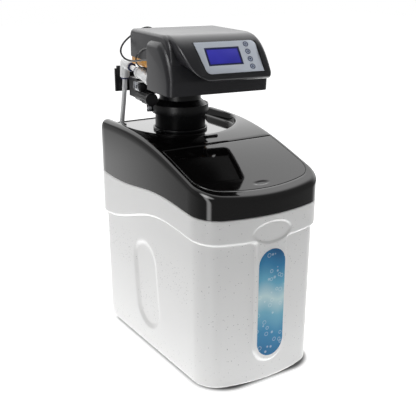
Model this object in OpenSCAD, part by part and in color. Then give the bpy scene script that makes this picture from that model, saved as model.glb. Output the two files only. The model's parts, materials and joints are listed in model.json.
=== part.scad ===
// Cabinet water softener: a salt cabinet with a resin vessel inside and a motor-driven control valve on top.
// Millimetres, +Z up, front towards -Y, origin on the floor under the middle of the cabinet.

/* [Cabinet] */
// Width across the lower walls
cab_w = 246; // [240:1:258]
// Depth from the front of the bow to the rear wall
cab_d = 413; // [408:1:440]
// Radius of the bowed front
bow_r = 300; // [260:5:400]
// Radius of the two front corners
front_corner_r = 48; // [42:1:60]
// Radius of the two rear corners
rear_corner_r = 38; // [25:1:42]
// Thickness of the moulded wall
cab_wall = 4; // [3:0.5:5]
// Thickness of the cabinet floor
cab_floor = 5; // [4:0.5:8]
// How far the upper band and the label pad stand proud of the wall
band_proud = 5.5; // [4:0.5:8]
// Height of the band's lower edge at its dip near the rear
band_dip_z = 231; // [222:1:240]
// Height of the band's lower edge at its crest on the sides
band_crest_z = 278; // [270:1:284]
// Height of the band's lower edge at the front
band_front_z = 268; // [262:1:272]
// Height of the cabinet rim at its dips
rim_dip_z = 314; // [308:1:318]
// Height of the cabinet rim at its crest on the sides
rim_crest_z = 325; // [320:1:330]

/* [Label pad and hollows] */
// Width of the raised pad under the label
pad_w = 65; // [62:1:74]
// Height of the lowest point of the pad
pad_bottom_z = 37; // [30:1:44]
// Width of the label
label_w = 56; // [48:1:58]
// Height of the label's lower end
label_bottom_z = 49; // [46:1:56]
// Height of the label's upper end
label_top_z = 252; // [240:1:256]
// Thickness of the label
label_t = 0.4; // [0.2:0.1:0.6]
// Width of the oval badge hollow
badge_w = 77; // [60:1:84]
// Height of the oval badge hollow
badge_h = 37; // [28:1:37]
// Height of the middle of the badge hollow
badge_z = 283; // [281:1:286]
// Depth of the badge hollow
badge_depth = 1.5; // [1:0.25:2]
// Radius of the round ends of the side hollows
hollow_r = 43; // [30:1:46]
// Height of the upper round end of the side hollows
hollow_top_z = 171; // [160:1:176]
// Height of the lower round end of the side hollows
hollow_low_z = 82; // [76:1:100]
// Depth of the side hollows
hollow_depth = 4; // [2:0.5:5]

/* [Top cover] */
// Wall of the top cover
cover_wall = 3.5; // [3:0.25:4]
// Height of the crest of the rails
crest_z = 422; // [420:1:426]
// Height of the front of the cover
front_z = 347; // [344:1:352]
// Height of the deck round the neck
deck_z = 404; // [402:1:405]
// Width of the basin between the rails
basin_w = 228; // [214:1:230]
// Distance from the neck to the front of the basin
basin_front = 92; // [84:1:94]
// Width of the salt opening
salt_w = 235; // [226:1:236]
// Place of the straight rear edge of the salt opening
salt_rear_y = -40.5; // [-46:0.5:-38]
// Place of the front of the salt opening
salt_front_y = -188.5; // [-192:0.5:-184]
// Width of the ledge that carries the salt lid
ledge_w = 6; // [4:0.5:8]
// Gap round the salt lid
lid_gap = 0.5; // [0.4:0.1:0.8]
// Radius of the hinge pins of the salt lid
hinge_pin_r = 1.5; // [1.25:0.05:1.7]

/* [Pressure vessel] */
// Outer radius of the vessel
vessel_r = 103; // [98:0.5:106]
// Wall of the vessel
vessel_wall = 4; // [3:0.5:5]
// Place of the vessel axis behind the middle of the cabinet
neck_y = 92; // [90:0.5:94]
// Outer radius of the vessel neck
neck_r = 48.5; // [46:0.5:49]
// Height of the top of the vessel neck above the deck
neck_top_z = 41; // [38:0.5:44]
// Bore radius of the vessel neck
neck_bore_r = 36; // [34:0.5:38]
// Outer radius of the riser tube
riser_r = 13.4; // [12:0.1:14]
// Height of the top of the resin bed
resin_top_z = 250; // [200:5:300]

/* [Brine well] */
// Outer radius of the brine well
well_r = 19; // [18:0.5:19.5]
// Wall of the brine well
well_wall = 1.5; // [1:0.25:2]
// Height of the top of the brine well
well_top_z = 366; // [340:1:370]
// Radius of the brine float
float_r = 8; // [7:0.25:8.25]
// Height of the underside of the float at rest
float_z = 150; // [120:1:200]
// Length of the float
float_h = 50; // [40:1:60]
// Outer radius of the brine tube
tube_r = 4.75; // [4.5:0.05:4.9]

/* [Control valve] */
// Turn of the valve on the neck
valve_yaw = -6; // [-8:1:0]
// Height of the top of the valve cover above the drive axis
head_top_z = 55; // [52:0.5:62]
// Height of the lower edge of the front of the valve cover, from the drive axis
head_low_z = -44.5; // [-48:0.5:-42]
// Width of the upper part of the valve cover
head_w = 171; // [170:1:176]
// Width across the two ears of the valve cover
ear_w = 188; // [184:1:192]
// Wall of the valve cover
head_wall = 3; // [2.5:0.25:3]
// Height of the axis of the drive gear above the vessel neck
drive_z = 95; // [91:0.5:103]
// Teeth on the drive gear
gear_teeth = 42; // [42:1:42]
// Teeth on the motor pinion
pinion_teeth = 14; // [14:1:14]
// Distance of each port from the valve's middle
port_x = 34; // [31:0.5:36]
// Height of the port axes above the vessel neck
port_z = 42; // [39:0.5:45]
// Outer radius of the port threads
port_r = 13.2; // [12.5:0.1:14]
// Bore radius of the ports
port_bore_r = 10.6; // [9:0.1:11]
// Outer radius of the drain spigot
drain_r = 7; // [6:0.1:8]
// Outer radius of the overflow spigot
overflow_r = 6.5; // [5.5:0.1:8]

/* [Display] */
// Slope of the display panel from the horizontal
panel_tilt = 52.4; // [52:0.2:53]
// Width of the display panel
panel_w = 116; // [112:1:117]
// Height of the display panel along its slope
panel_h = 62; // [60:0.5:63]
// Thickness of the display panel
panel_t = 1; // [0.8:0.1:1.4]
// Radius of a key
key_r = 5; // [4:0.1:5.6]
// Distance between neighbouring keys
key_pitch = 14.8; // [13.5:0.1:15]
// Travel of a key
key_travel = 0.8; // [0.5:0.1:1]

/* [Hidden] */
$fn = 64;

// Small gaps and reaches that several pieces share
seat = 0.3;
run_gap = 0.08;
run_gap_wide = 0.5;
past = 1;
far = 400;

// Heights that hang on one another: the neck on the deck, drive and ports on the neck, cover on the drive
neck_z = deck_z + neck_top_z;
axis_z = neck_z + drive_z;
top_z = axis_z + head_top_z;
low_z = axis_z + head_low_z;
ports_z = neck_z + port_z;

white = [0.93, 0.93, 0.92];
gloss_black = [0.05, 0.05, 0.06];
black = [0.09, 0.09, 0.10];
charcoal = [0.24, 0.24, 0.25];
navy = [0.10, 0.16, 0.50];
amber = [0.86, 0.62, 0.24];
steel = [0.75, 0.75, 0.77];

// Outlines

function arc(c, r, a0, a1, n) = [for (i = [0 : n]) let (a = a0 + (a1 - a0) * i / n) c + r * [cos(a), sin(a)]];
function mid(p, q, t) = p + (q - p) * t;
function bezier(p, t) = len(p) == 1 ? p[0] : bezier([for (i = [0 : len(p) - 2]) mid(p[i], p[i + 1], t)], t);
function curve(p, n) = [for (i = [0 : n]) bezier(p, i / n)];

// A plan with a bowed front, two front corners and two rear corners, grown outwards by g
function bow_plan(half_w, front, rear, r_bow, r_front, r_rear, g) =
    let (cx = half_w - r_front)
    let (bow_y = front + r_bow)
    let (cy = bow_y - sqrt(pow(r_bow - r_front, 2) - cx * cx))
    let (swing = atan2(cx, bow_y - cy))
    let (rx = half_w - r_rear)
    let (ry = rear - r_rear)
    concat(
        arc([0, bow_y], r_bow + g, -90 - swing, -90 + swing, 10),
        arc([cx, cy], r_front + g, -90 + swing, 0, 9),
        r_rear > 0 ? arc([rx, ry], r_rear + g, 0, 90, 8) : [[half_w + g, rear + g]],
        r_rear > 0 ? arc([-rx, ry], r_rear + g, 90, 180, 8) : [[-half_w - g, rear + g]],
        arc([-cx, cy], r_front + g, 180, 270 - swing, 9));

// A height that swells from one knot to the next, each knot being [y, z]
function swell(y, a, b) =
    let (t = min(1, max(0, (y - a.x) / (b.x - a.x))))
        mid(a.y, b.y, (1 - cos(180 * t)) / 2);
function wave(y, k) =
    y < k[1].x ? swell(y, k[0], k[1]) :
    y < k[2].x ? swell(y, k[1], k[2]) : swell(y, k[2], k[3]);

front_y = -cab_d / 2;
rear_y = cab_d / 2;
cover_front_y = front_y - band_proud;
cover_rear_y = rear_y + band_proud;
wave_step = (cover_rear_y - cover_front_y) / 36;
wave_ys = [for (i = [0 : 36]) cover_front_y + i * wave_step];
rim_knots = [[front_y + 5, rim_dip_z], [-44.5, rim_crest_z], [112.5, rim_dip_z], [269.5, rim_crest_z]];
band_knots = [[front_y, band_front_z], [-53.5, band_crest_z], [176.5, band_dip_z], [rear_y, band_dip_z]];

module plan(g) {
    polygon(bow_plan(cab_w / 2, front_y, rear_y, bow_r, front_corner_r, rear_corner_r, g));
}

// A solid across the width, from an outline in Y and Z, with more of it on the right
module across(points, width = far, more = 0) {
    translate([-width / 2, 0, 0])
        rotate([90, 0, 90])
            linear_extrude(width + more)
                polygon(points);
}

module under_wave(knots, lift) {
    across(concat([for (y = wave_ys) [y, wave(y, knots) + lift]],
        [[cover_rear_y, -past], [cover_front_y, -past]]));
}

module column(g, z0, z1) {
    translate([0, 0, z0])
        linear_extrude(z1 - z0)
            plan(g);
}

// An upright shape with round ends, seen from the front, run right through in Y
module upright_slot(width, z0, z1) {
    rotate([90, 0, 0])
        linear_extrude(far, center = false) {
            translate([-width / 2, z0 + width / 2])
                square([width, z1 - z0 - width]);
            for (z = [z0 + width / 2, z1 - width / 2])
                translate([0, z])
                    circle(width / 2);
        }
}

// Side hollows lean: their lower end lies nearer the front
hollow_top = [23.5, hollow_top_z];
hollow_low = [15.5, hollow_low_z];
hollow_lean = atan2(hollow_top.x - hollow_low.x, hollow_top.y - hollow_low.y);

module side_hollow(side, grow, depth) {
    face_x = cab_w / 2 - depth;
    translate([side > 0 ? face_x : -face_x - far, 0, 0])
        rotate([90, 0, 90])
            linear_extrude(far) {
                for (c = [hollow_top, hollow_low])
                    translate(c)
                        circle(hollow_r + grow);
                translate(hollow_low)
                    rotate(-hollow_lean)
                        translate([-hollow_r - grow, 0])
                            square([2 * (hollow_r + grow), norm(hollow_top - hollow_low)]);
            }
}

// Cabinet

overflow_x = 60;
overflow_z = 205;
overflow_wall = 4;
overflow_hole_r = overflow_r + overflow_wall;

module cabinet() {
    color(white)
        difference() {
            intersection() {
                union() {
                    column(0, 0, rim_crest_z + past);
                    difference() {
                        column(band_proud, 0, rim_crest_z + past);
                        under_wave(band_knots, 0);
                    }
                    intersection() {
                        column(band_proud, 0, band_crest_z);
                        upright_slot(pad_w, pad_bottom_z, band_crest_z + pad_w);
                    }
                }
                under_wave(rim_knots, 0);
            }
            difference() {
                column(-cab_wall, cab_floor, rim_crest_z + past);
                for (side = [-1, 1])
                    side_hollow(side, cab_wall, hollow_depth + cab_wall);
            }
            difference() {
                column(band_proud - cab_wall, cab_floor, rim_crest_z + past);
                under_wave(band_knots, cab_wall);
            }
            for (side = [-1, 1])
                side_hollow(side, 0, hollow_depth);
            badge_cut();
            translate([overflow_x, rear_y - far / 2, overflow_z])
                rotate([-90, 0, 0])
                    cylinder(r = overflow_hole_r, h = far);
        }
}

module badge_cut() {
    difference() {
        translate([0, front_y + past, badge_z])
            rotate([90, 0, 0])
                linear_extrude(far)
                    polygon([for (a = [0 : 7.5 : 359]) [badge_w / 2 * cos(a), badge_h / 2 * sin(a)]]);
        column(band_proud - badge_depth, 0, rim_crest_z + past);
    }
}

module front_label() {
    color([0.20, 0.52, 0.70])
        intersection() {
            difference() {
                column(band_proud + label_t, 0, rim_dip_z);
                column(band_proud, -past, rim_dip_z + past);
            }
            upright_slot(label_w, label_bottom_z, label_top_z);
        }
}

// Top cover

// The crown falls from the rails' crest at the rear to the front rim
crown_rear_y = 141.5;
crown_hold = [-8.5, crest_z + 2];
crown_dive = [-68.5, crest_z - 30];
rail_end_y = 166;
lip_z = deck_z + 5;
rail_drop = crest_z - lip_z;
crown_line = concat(
    curve([[cover_front_y, front_z], crown_dive, crown_hold, [crown_rear_y, crest_z]], 36),
    arc([rail_end_y, lip_z], rail_drop, 90, 0, 6),
    [[cover_rear_y + past, lip_z]]);

function crown_at(y, line = crown_line, i = 0) =
    line[i + 1].x >= y ? mid(line[i].y, line[i + 1].y, (y - line[i].x) / (line[i + 1].x - line[i].x))
    : crown_at(y, line, i + 1);

module under_crown(drop) {
    across(concat([for (p = crown_line) p - [0, drop]], [[cover_rear_y + past, 0], [cover_front_y, 0]]));
}

module over_crown(drop) {
    difference() {
        translate([-far / 2, -far, crest_z - far / 2])
            cube([far, 2 * far, far]);
        under_crown(drop);
    }
}

// The basin is an ellipse in front of the neck and straight behind it
basin_rear = 6;
basin_corner_r = 30;
module basin(g) {
    half_w = basin_w / 2 + g;
    rear = rear_y - basin_rear + g;
    r = basin_corner_r;
    polygon(concat(
        [for (a = [180 : 7.5 : 360]) [half_w * cos(a), neck_y + (basin_front + g) * sin(a)]],
        arc([half_w - r, rear - r], r, 0, 90, 6),
        arc([-half_w + r, rear - r], r, 90, 180, 6)));
}

salt_corner_r = 45;
module salt_plan(g) {
    polygon(bow_plan(salt_w / 2, salt_front_y, salt_rear_y, bow_r, salt_corner_r, 0, g));
}

lid_t = 3.5;
lid_bead_r = 2.5;
hinge_slack = 0.1;
hinge_y = salt_rear_y - lid_gap - lid_bead_r;
hinge_z = crown_at(hinge_y) - lid_bead_r - hinge_slack;
hinge_reach = 4.5;
hinge_boss = [12, 14, 20];
hinge_boss_out = 5;
hinge_boss_lift = 4;
neck_hole_gap = 1;
neck_hole_r = neck_r + neck_hole_gap;
tube_hole = [-83, 179];
grommet_r = 9;
grommet_lip = 2;
tube_room = 1.4;
tongue_depth = 12;
tongue_gap = 0.5;

module hinge_line(r, length) {
    translate([0, hinge_y, hinge_z])
        rotate([0, 90, 0])
            cylinder(r = r, h = length, center = true);
}

module top_cover() {
    color(gloss_black)
        difference() {
            union() {
                difference() {
                    intersection() {
                        column(band_proud, rim_dip_z - past, crest_z + past);
                        under_crown(0);
                    }
                    under_wave(rim_knots, seat);
                    cover_hollow();
                    translate([0, 0, deck_z])
                        linear_extrude(far)
                            basin(0);
                }
                cover_tongue();
            }
            intersection() {
                linear_extrude(2 * far)
                    salt_plan(0);
                over_crown(lid_t + seat);
            }
            linear_extrude(2 * far)
                salt_plan(-ledge_w);
            hinge_line(lid_bead_r + seat, salt_w);
            hinge_line(hinge_pin_r + run_gap, salt_w + 2 * hinge_reach + 1);
            translate([0, neck_y, 0])
                cylinder(r = neck_hole_r, h = 2 * far);
            translate(tube_hole)
                cylinder(r = grommet_r - grommet_lip, h = 2 * far);
        }
}

// What is hollow under the cover: all but its roof, the basin's tub, the salt ledge and the hinge bosses
module cover_hollow() {
    difference() {
        intersection() {
            column(band_proud - cover_wall, 0, crest_z);
            under_crown(cover_wall);
        }
        translate([0, 0, deck_z - cover_wall])
            linear_extrude(far)
                basin(cover_wall);
        intersection() {
            linear_extrude(2 * far)
                salt_plan(cover_wall);
            over_crown(lid_t + seat + cover_wall);
        }
        for (side = [-1, 1])
            translate([side * (salt_w / 2 + hinge_boss_out), hinge_y, hinge_z + hinge_boss_lift])
                cube(hinge_boss, center = true);
    }
}

// The tongue hangs inside the cabinet rim and keeps the cover from sliding
module cover_tongue() {
    outer = band_proud - cab_wall - tongue_gap;
    difference() {
        column(outer, rim_dip_z - tongue_depth, rim_crest_z + tongue_depth);
        column(outer - cover_wall, 0, far + far);
    }
    difference() {
        column(band_proud - cover_wall + past, rim_crest_z + cover_wall, rim_crest_z + tongue_depth);
        column(outer - cover_wall, 0, far + far);
    }
}

notch_w = 30;
notch_h = 11;
notch_depth = 2;
notch_in = 15;
notch_y = salt_front_y + notch_in;

module salt_lid() {
    color(gloss_black)
        union() {
            difference() {
                intersection() {
                    linear_extrude(2 * far)
                        salt_plan(-lid_gap);
                    under_crown(0);
                    over_crown(lid_t);
                    translate([-far / 2, hinge_y - far, 0])
                        cube([far, far, 2 * far]);
                }
                intersection() {
                    translate([0, notch_y, 0])
                        linear_extrude(2 * far)
                            polygon([for (a = [0 : 15 : 359]) [notch_w / 2 * cos(a), notch_h / 2 * sin(a)]]);
                    over_crown(notch_depth);
                }
            }
            hinge_line(lid_bead_r, salt_w - 2 * lid_gap);
            hinge_line(hinge_pin_r, salt_w + 2 * hinge_reach);
        }
}

collar_h = 5;
collar_w = 4;
collar_lug_angle = 195;
collar_lug_w = 12;
collar_lug_reach = 12;
module neck_collar() {
    color(black)
        translate([0, neck_y, deck_z])
            difference() {
                linear_extrude(collar_h) {
                    circle(neck_r + collar_w);
                    rotate(collar_lug_angle)
                        translate([neck_r + neck_hole_gap, -collar_lug_w / 2])
                            square([collar_lug_reach, collar_lug_w]);
                }
                translate([0, 0, -past])
                    cylinder(r = neck_r + seat, h = collar_h + 2 * past);
            }
}

module tube_grommet() {
    color(black)
        translate([tube_hole.x, tube_hole.y, deck_z])
            difference() {
                union() {
                    cylinder(r = grommet_r, h = grommet_lip);
                    translate([0, 0, -cover_wall])
                        cylinder(r = grommet_r - grommet_lip, h = cover_wall + past);
                }
                translate([0, 0, -far / 2])
                    cylinder(r = tube_r + tube_room, h = far);
            }
}

// Overflow

overflow_seal_t = 2;
overflow_flange_t = 3;
overflow_drop = 34;
overflow_stub = 9;
overflow_lip = 5;
overflow_bore_wall = 2;
overflow_leg_gap = 3;
overflow_nut_t = 6;
overflow_nut_lip = 6;
overflow_seal_lip = 4.5;
overflow_leg_y = rear_y + overflow_seal_t + overflow_flange_t + overflow_r + overflow_leg_gap;
overflow_bore_r = overflow_r - overflow_bore_wall;
overflow_barrel_r = overflow_hole_r - seat;

module overflow_elbow() {
    color(black)
        difference() {
            union() {
                translate([overflow_x, rear_y - cab_wall - overflow_stub, overflow_z])
                    rotate([-90, 0, 0])
                        cylinder(r = overflow_barrel_r,
                            h = overflow_leg_y - rear_y + cab_wall + overflow_stub);
                translate([overflow_x, rear_y + overflow_seal_t, overflow_z])
                    rotate([-90, 0, 0])
                        cylinder(r = overflow_hole_r + overflow_lip, h = overflow_flange_t);
                translate([overflow_x, overflow_leg_y, overflow_z])
                    sphere(r = overflow_barrel_r);
                translate([overflow_x, overflow_leg_y, overflow_z - overflow_barrel_r])
                    cylinder(r = overflow_barrel_r, h = overflow_barrel_r);
                translate([overflow_x, overflow_leg_y, overflow_z - overflow_drop])
                    cylinder(r = overflow_r, h = overflow_drop);
            }
            translate([overflow_x, rear_y - far / 2, overflow_z])
                rotate([-90, 0, 0])
                    cylinder(r = overflow_bore_r, h = overflow_leg_y - rear_y + far / 2);
            translate([overflow_x, overflow_leg_y, overflow_z - far])
                cylinder(r = overflow_bore_r, h = far);
        }
}

module overflow_ring(r, y, t, sides) {
    translate([overflow_x, y, overflow_z])
        rotate([-90, 0, 0])
            difference() {
                cylinder(r = r, h = t, $fn = sides);
                translate([0, 0, -past])
                    cylinder(r = overflow_hole_r, h = t + 2 * past);
            }
}

module overflow_seal() {
    color([0.15, 0.15, 0.15])
        overflow_ring(overflow_hole_r + overflow_seal_lip, rear_y, overflow_seal_t, 64);
}

module overflow_nut() {
    color(black)
        overflow_ring(overflow_hole_r + overflow_nut_lip,
            rear_y - cab_wall - overflow_nut_t, overflow_nut_t, 6);
}

// Pressure vessel

vessel_lift = 7;
vessel_base_z = cab_floor + vessel_lift;
dome_h = 70;
vessel_drop = 74;
vessel_shoulder_z = deck_z - vessel_drop;
dome_end = acos(neck_r / vessel_r);
neck_base_z = vessel_shoulder_z + dome_h * sin(dome_end);

// Half outline of the vessel, from its lowest point up to the neck, set in by a distance
function vessel_line(inset) = let (r = vessel_r - inset, h = dome_h - inset) concat(
    [for (b = [0 : 7.5 : 90]) [r * sin(b), vessel_base_z + dome_h - h * cos(b)]],
    [for (i = [0 : 8]) let (a = acos(neck_r / r) * i / 8) [r * cos(a), vessel_shoulder_z + h * sin(a)]]);

function backwards(list) = [for (i = [len(list) - 1 : -1 : 0]) list[i]];

module pressure_vessel() {
    color([0.55, 0.60, 0.66])
        translate([0, neck_y, 0])
            rotate_extrude()
                polygon(concat(vessel_line(0), backwards(vessel_line(vessel_wall))));
}

neck_flange_lip = 2;
neck_flange_r = neck_r + neck_flange_lip;
neck_flange_t = 5;
module vessel_neck() {
    color(black)
        translate([0, neck_y, 0])
            difference() {
                union() {
                    translate([0, 0, neck_base_z - vessel_wall])
                        cylinder(r = neck_r, h = neck_z - neck_base_z + vessel_wall);
                    translate([0, 0, neck_z - neck_flange_t])
                        cylinder(r = neck_flange_r, h = neck_flange_t);
                }
                cylinder(r = neck_bore_r, h = 2 * far);
            }
}

foot_h = 42;
foot_inset = 8;
foot_bore_inset = 50;
module vessel_foot() {
    color(black)
        translate([0, neck_y, 0])
            difference() {
                translate([0, 0, cab_floor])
                    cylinder(r = vessel_r - foot_inset, h = foot_h);
                rotate_extrude()
                    polygon(concat([for (p = vessel_line(-seat)) [max(0, p.x), p.y]], [[0, far]]));
                cylinder(r = vessel_r - foot_bore_inset, h = 2 * far);
            }
}

strainer_r = 24;
strainer_h = 56;
strainer_lift = (dome_h - vessel_wall) * (1 - cos(asin(strainer_r / (vessel_r - vessel_wall))));
strainer_z = vessel_base_z + vessel_wall + strainer_lift + 2 * seat;
module resin_bed() {
    color([0.72, 0.45, 0.15])
        translate([0, neck_y, 0])
            difference() {
                intersection() {
                    rotate_extrude()
                        polygon(concat(vessel_line(vessel_wall + seat), [[0, neck_base_z]]));
                    cylinder(r = vessel_r, h = resin_top_z);
                }
                cylinder(r = riser_r + seat, h = far);
                translate([0, 0, -past])
                    cylinder(r = strainer_r + seat, h = strainer_z + strainer_h + seat + past);
            }
}

valve_base_z = neck_z + seat;
riser_in_valve = 30;
riser_in_strainer = 20;
riser_wall = 2;
riser_top_z = valve_base_z + riser_in_valve;
module riser_tube() {
    color(white)
        translate([0, neck_y, strainer_z + strainer_h - riser_in_strainer])
            difference() {
                cylinder(r = riser_r, h = riser_top_z - strainer_z - strainer_h + riser_in_strainer);
                translate([0, 0, -past])
                    cylinder(r = riser_r - riser_wall, h = 2 * far);
            }
}

// Ribs round a strainer let water in between them
slot_depth = 2.5;
module ribbed_basket(r, h, ribs) {
    pitch = h / ribs;
    difference() {
        cylinder(r = r, h = h);
        for (i = [0 : ribs - 1])
            translate([0, 0, (i + 0.5) * pitch])
                difference() {
                    cylinder(r = r + past, h = pitch / 3);
                    translate([0, 0, -past])
                        cylinder(r = r - slot_depth, h = pitch);
                }
    }
}

module lower_strainer() {
    color(white)
        translate([0, neck_y, strainer_z])
            difference() {
                ribbed_basket(strainer_r, strainer_h, 9);
                translate([0, 0, strainer_h - riser_in_strainer])
                    cylinder(r = riser_r, h = far);
            }
}

upper_strainer_h = 34;
upper_strainer_over = 12;
spigot_depth = 18;
module upper_strainer() {
    color(white)
        translate([0, neck_y, valve_base_z - spigot_depth - upper_strainer_h])
            difference() {
                ribbed_basket(riser_r + upper_strainer_over, upper_strainer_h, 6);
                translate([0, 0, -past])
                    cylinder(r = riser_r + seat, h = far);
            }
}

// Brine well

well = [-88, 180];
well_tube = [-81, 174];
float_at = [-95, 185.5];
float_edge_r = 3;
well_cap_t = 5;
well_cap_lip = 1.5;
well_cap_plug = 6;
well_slot = [4, 30];
well_slot_z = 50;
guide_r = 6;
guide_h = 20;
tube_socket = 15;
rod_lift = 22;
rod_over = 12;
valve_block_h = 40;
rod_r = 2;
rod_bottom_z = cab_floor + rod_lift;

module brine_well() {
    color(white)
        translate([well.x, well.y, cab_floor])
            difference() {
                cylinder(r = well_r, h = well_top_z - cab_floor);
                translate([0, 0, -past])
                    cylinder(r = well_r - well_wall, h = far);
                for (a = [0, 60, 120])
                    rotate(a)
                        translate([-well_r - past, -well_slot.x / 2, well_slot_z])
                            cube([2 * well_r + 2 * past, well_slot.x, well_slot.y]);
            }
}

module brine_well_cap() {
    color(black)
        difference() {
            union() {
                translate([well.x, well.y, well_top_z])
                    cylinder(r = well_r + well_cap_lip, h = well_cap_t);
                translate([well.x, well.y, well_top_z - well_cap_plug])
                    cylinder(r = well_r - well_wall - seat, h = well_cap_plug + past);
            }
            translate([well_tube.x, well_tube.y, 0])
                cylinder(r = tube_r + tube_room, h = 2 * far);
        }
}

module brine_valve_body() {
    color(white)
        difference() {
            union() {
                translate([well.x, well.y, cab_floor])
                    cylinder(r = well_r - well_wall - seat, h = valve_block_h);
                translate([float_at.x, float_at.y, cab_floor])
                    cylinder(r = guide_r, h = valve_block_h + guide_h);
            }
            translate([well_tube.x, well_tube.y, cab_floor + valve_block_h - tube_socket])
                cylinder(r = tube_r + seat, h = far);
            translate([float_at.x, float_at.y, rod_bottom_z - seat])
                cylinder(r = rod_r + run_gap, h = far);
        }
}

module float_rod() {
    color(white)
        translate([float_at.x, float_at.y, rod_bottom_z])
            cylinder(r = rod_r, h = float_z + float_h + rod_over - rod_bottom_z);
}

module brine_float() {
    e = float_edge_r;
    color([0.85, 0.85, 0.80])
        translate([float_at.x, float_at.y, float_z])
            difference() {
                rotate_extrude()
                    polygon(concat([[0, 0]], arc([float_r - e, e], e, -90, 0, 4),
                        arc([float_r - e, float_h - e], e, 0, 90, 4), [[0, float_h]]));
                translate([0, 0, -past])
                    cylinder(r = rod_r, h = far);
            }
}

// Control valve

module on_valve() {
    translate([0, neck_y, 0])
        rotate(valve_yaw)
            children();
}

// A round bar along the valve's depth, between two places
module bar(x, z, r, y0, y1, sides = 64) {
    translate([x, y0, z])
        rotate([-90, 0, 0])
            cylinder(r = r, h = y1 - y0, $fn = sides);
}

module box(low, high) {
    translate(low)
        cube(high - low);
}

block_x = 56;
block_front = -42;
block_rear = 32;
chamber_r = 44;
chamber_front = -64;
chamber_floor = -50;
disc_r = 36;
disc_room = 1;
base_lip = 1;
base_r = neck_flange_r + base_lip;
base_t = 8;
throat_r = 40;
throat_cone_h = 10;
throat_h = 43;
block_low_z = neck_z + 33;
block_top_z = axis_z + 8;
socket_lip = 3.3;
socket_in = 6;
arm_front = -62;
arm_back = block_front + 12;
drain_z = ports_z + 3;
drain_boss = 5;
drain_boss_h = 7;
port_face = 56;
arm_z = [axis_z - 40, axis_z - 13];
injector_x = [-82, -60];

module valve_body() {
    color(black)
        on_valve()
            difference() {
                union() {
                    translate([0, 0, valve_base_z - spigot_depth])
                        cylinder(r = neck_bore_r - seat, h = spigot_depth + past);
                    translate([0, 0, valve_base_z])
                        cylinder(r = base_r, h = base_t);
                    translate([0, 0, valve_base_z + base_t])
                        cylinder(r1 = base_r, r2 = throat_r, h = throat_cone_h);
                    translate([0, 0, valve_base_z + base_t])
                        cylinder(r = throat_r, h = throat_h);
                    box([-block_x, block_front, block_low_z], [block_x, block_rear, block_top_z]);
                    bar(0, axis_z, chamber_r, chamber_front, block_front + past);
                    for (side = [-1, 1])
                        bar(side * port_x, ports_z, port_r + socket_lip, 0, port_face);
                    box([injector_x[1], arm_front, arm_z[0]], [-block_x + past, arm_back, arm_z[1]]);
                    translate([block_x - past, 0, drain_z])
                        rotate([0, 90, 0])
                            cylinder(r = drain_r + drain_boss, h = drain_boss_h);
                }
                translate([0, 0, valve_base_z - far / 2])
                    cylinder(r = riser_r + run_gap, h = far / 2 + riser_top_z + past - valve_base_z);
                bar(0, axis_z, disc_r + disc_room, chamber_front - past, chamber_floor);
                for (side = [-1, 1])
                    bar(side * port_x, ports_z, port_bore_r, block_rear - socket_in, port_face + past);
                seal_ring(seat);
            }
}

seal_mid_r = (neck_bore_r + neck_flange_r) / 2;
seal_r = 2.6;
module seal_ring(grow) {
    translate([0, 0, valve_base_z + seal_r - seat])
        rotate_extrude()
            translate([seal_mid_r, 0])
                circle(seal_r + grow, $fn = 24);
}

module neck_seal() {
    color([0.08, 0.08, 0.08])
        on_valve()
            seal_ring(0);
}

// The clamp is a split ring whose two lugs are drawn together by a screw
clamp_angle = 160;
clamp_t = 3;
clamp_under = 2.5;
clamp_over = 1;
clamp_low_z = neck_z - neck_flange_t - clamp_under;
clamp_high_z = valve_base_z + base_t + clamp_over;
clamp_out_r = base_r + seat + clamp_t;
lug_reach = 13;
lug_t = 5;
lug_gap = 5;
screw_z = (clamp_low_z + clamp_high_z) / 2;
clamp_screw_r = 2.5;
clamp_screw_out = 5.5;
clamp_screw_lip = 2;
lug_inset = 1.5;

module clamp_ring() {
    color(black)
        on_valve()
            difference() {
                union() {
                    translate([0, 0, clamp_low_z])
                        cylinder(r = clamp_out_r, h = clamp_high_z - clamp_low_z);
                    rotate(clamp_angle)
                        for (side = [-1, 1])
                            translate([base_r, side * (lug_gap + lug_t) / 2 - lug_t / 2,
                                clamp_low_z + lug_inset])
                                cube([lug_reach, lug_t, clamp_high_z - clamp_low_z - 2 * lug_inset]);
                }
                translate([0, 0, clamp_low_z - past])
                    cylinder(r = neck_r + seat, h = far);
                translate([0, 0, neck_z - neck_flange_t - seat])
                    cylinder(r = neck_flange_r + seat, h = neck_flange_t + 2 * seat);
                translate([0, 0, valve_base_z - seat])
                    cylinder(r = base_r + seat, h = far);
                rotate(clamp_angle) {
                    translate([0, -lug_gap / 2, 0])
                        cube([far, lug_gap, 2 * far]);
                    clamp_screw_line(clamp_screw_r + seat, far);
                }
            }
}

module clamp_screw_line(r, length) {
    translate([base_r + clamp_t + clamp_screw_out, 0, screw_z])
        rotate([90, 0, 0])
            cylinder(r = r, h = length, center = true);
}

module clamp_screw() {
    head_t = 3.5;
    span = lug_gap + 2 * lug_t;
    color(steel)
        on_valve()
            rotate(clamp_angle) {
                clamp_screw_line(clamp_screw_r, span + head_t);
                translate([0, span / 2 + head_t / 2, 0])
                    clamp_screw_line(clamp_screw_r + clamp_screw_lip, head_t);
                translate([0, -span / 2 - head_t / 2, 0])
                    clamp_screw_line(clamp_screw_r + clamp_screw_lip, head_t, $fn = 6);
            }
}

// The drive frame is a tray under the rear of the valve cover
frame_rise = 3.5;
frame_drop = 10;
frame_top_z = axis_z + frame_rise;
frame_low_z = axis_z - frame_drop;
frame_t = 3;
frame_x = head_w / 2 - head_wall;
frame_front = -50;
frame_rear = 38;

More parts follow.
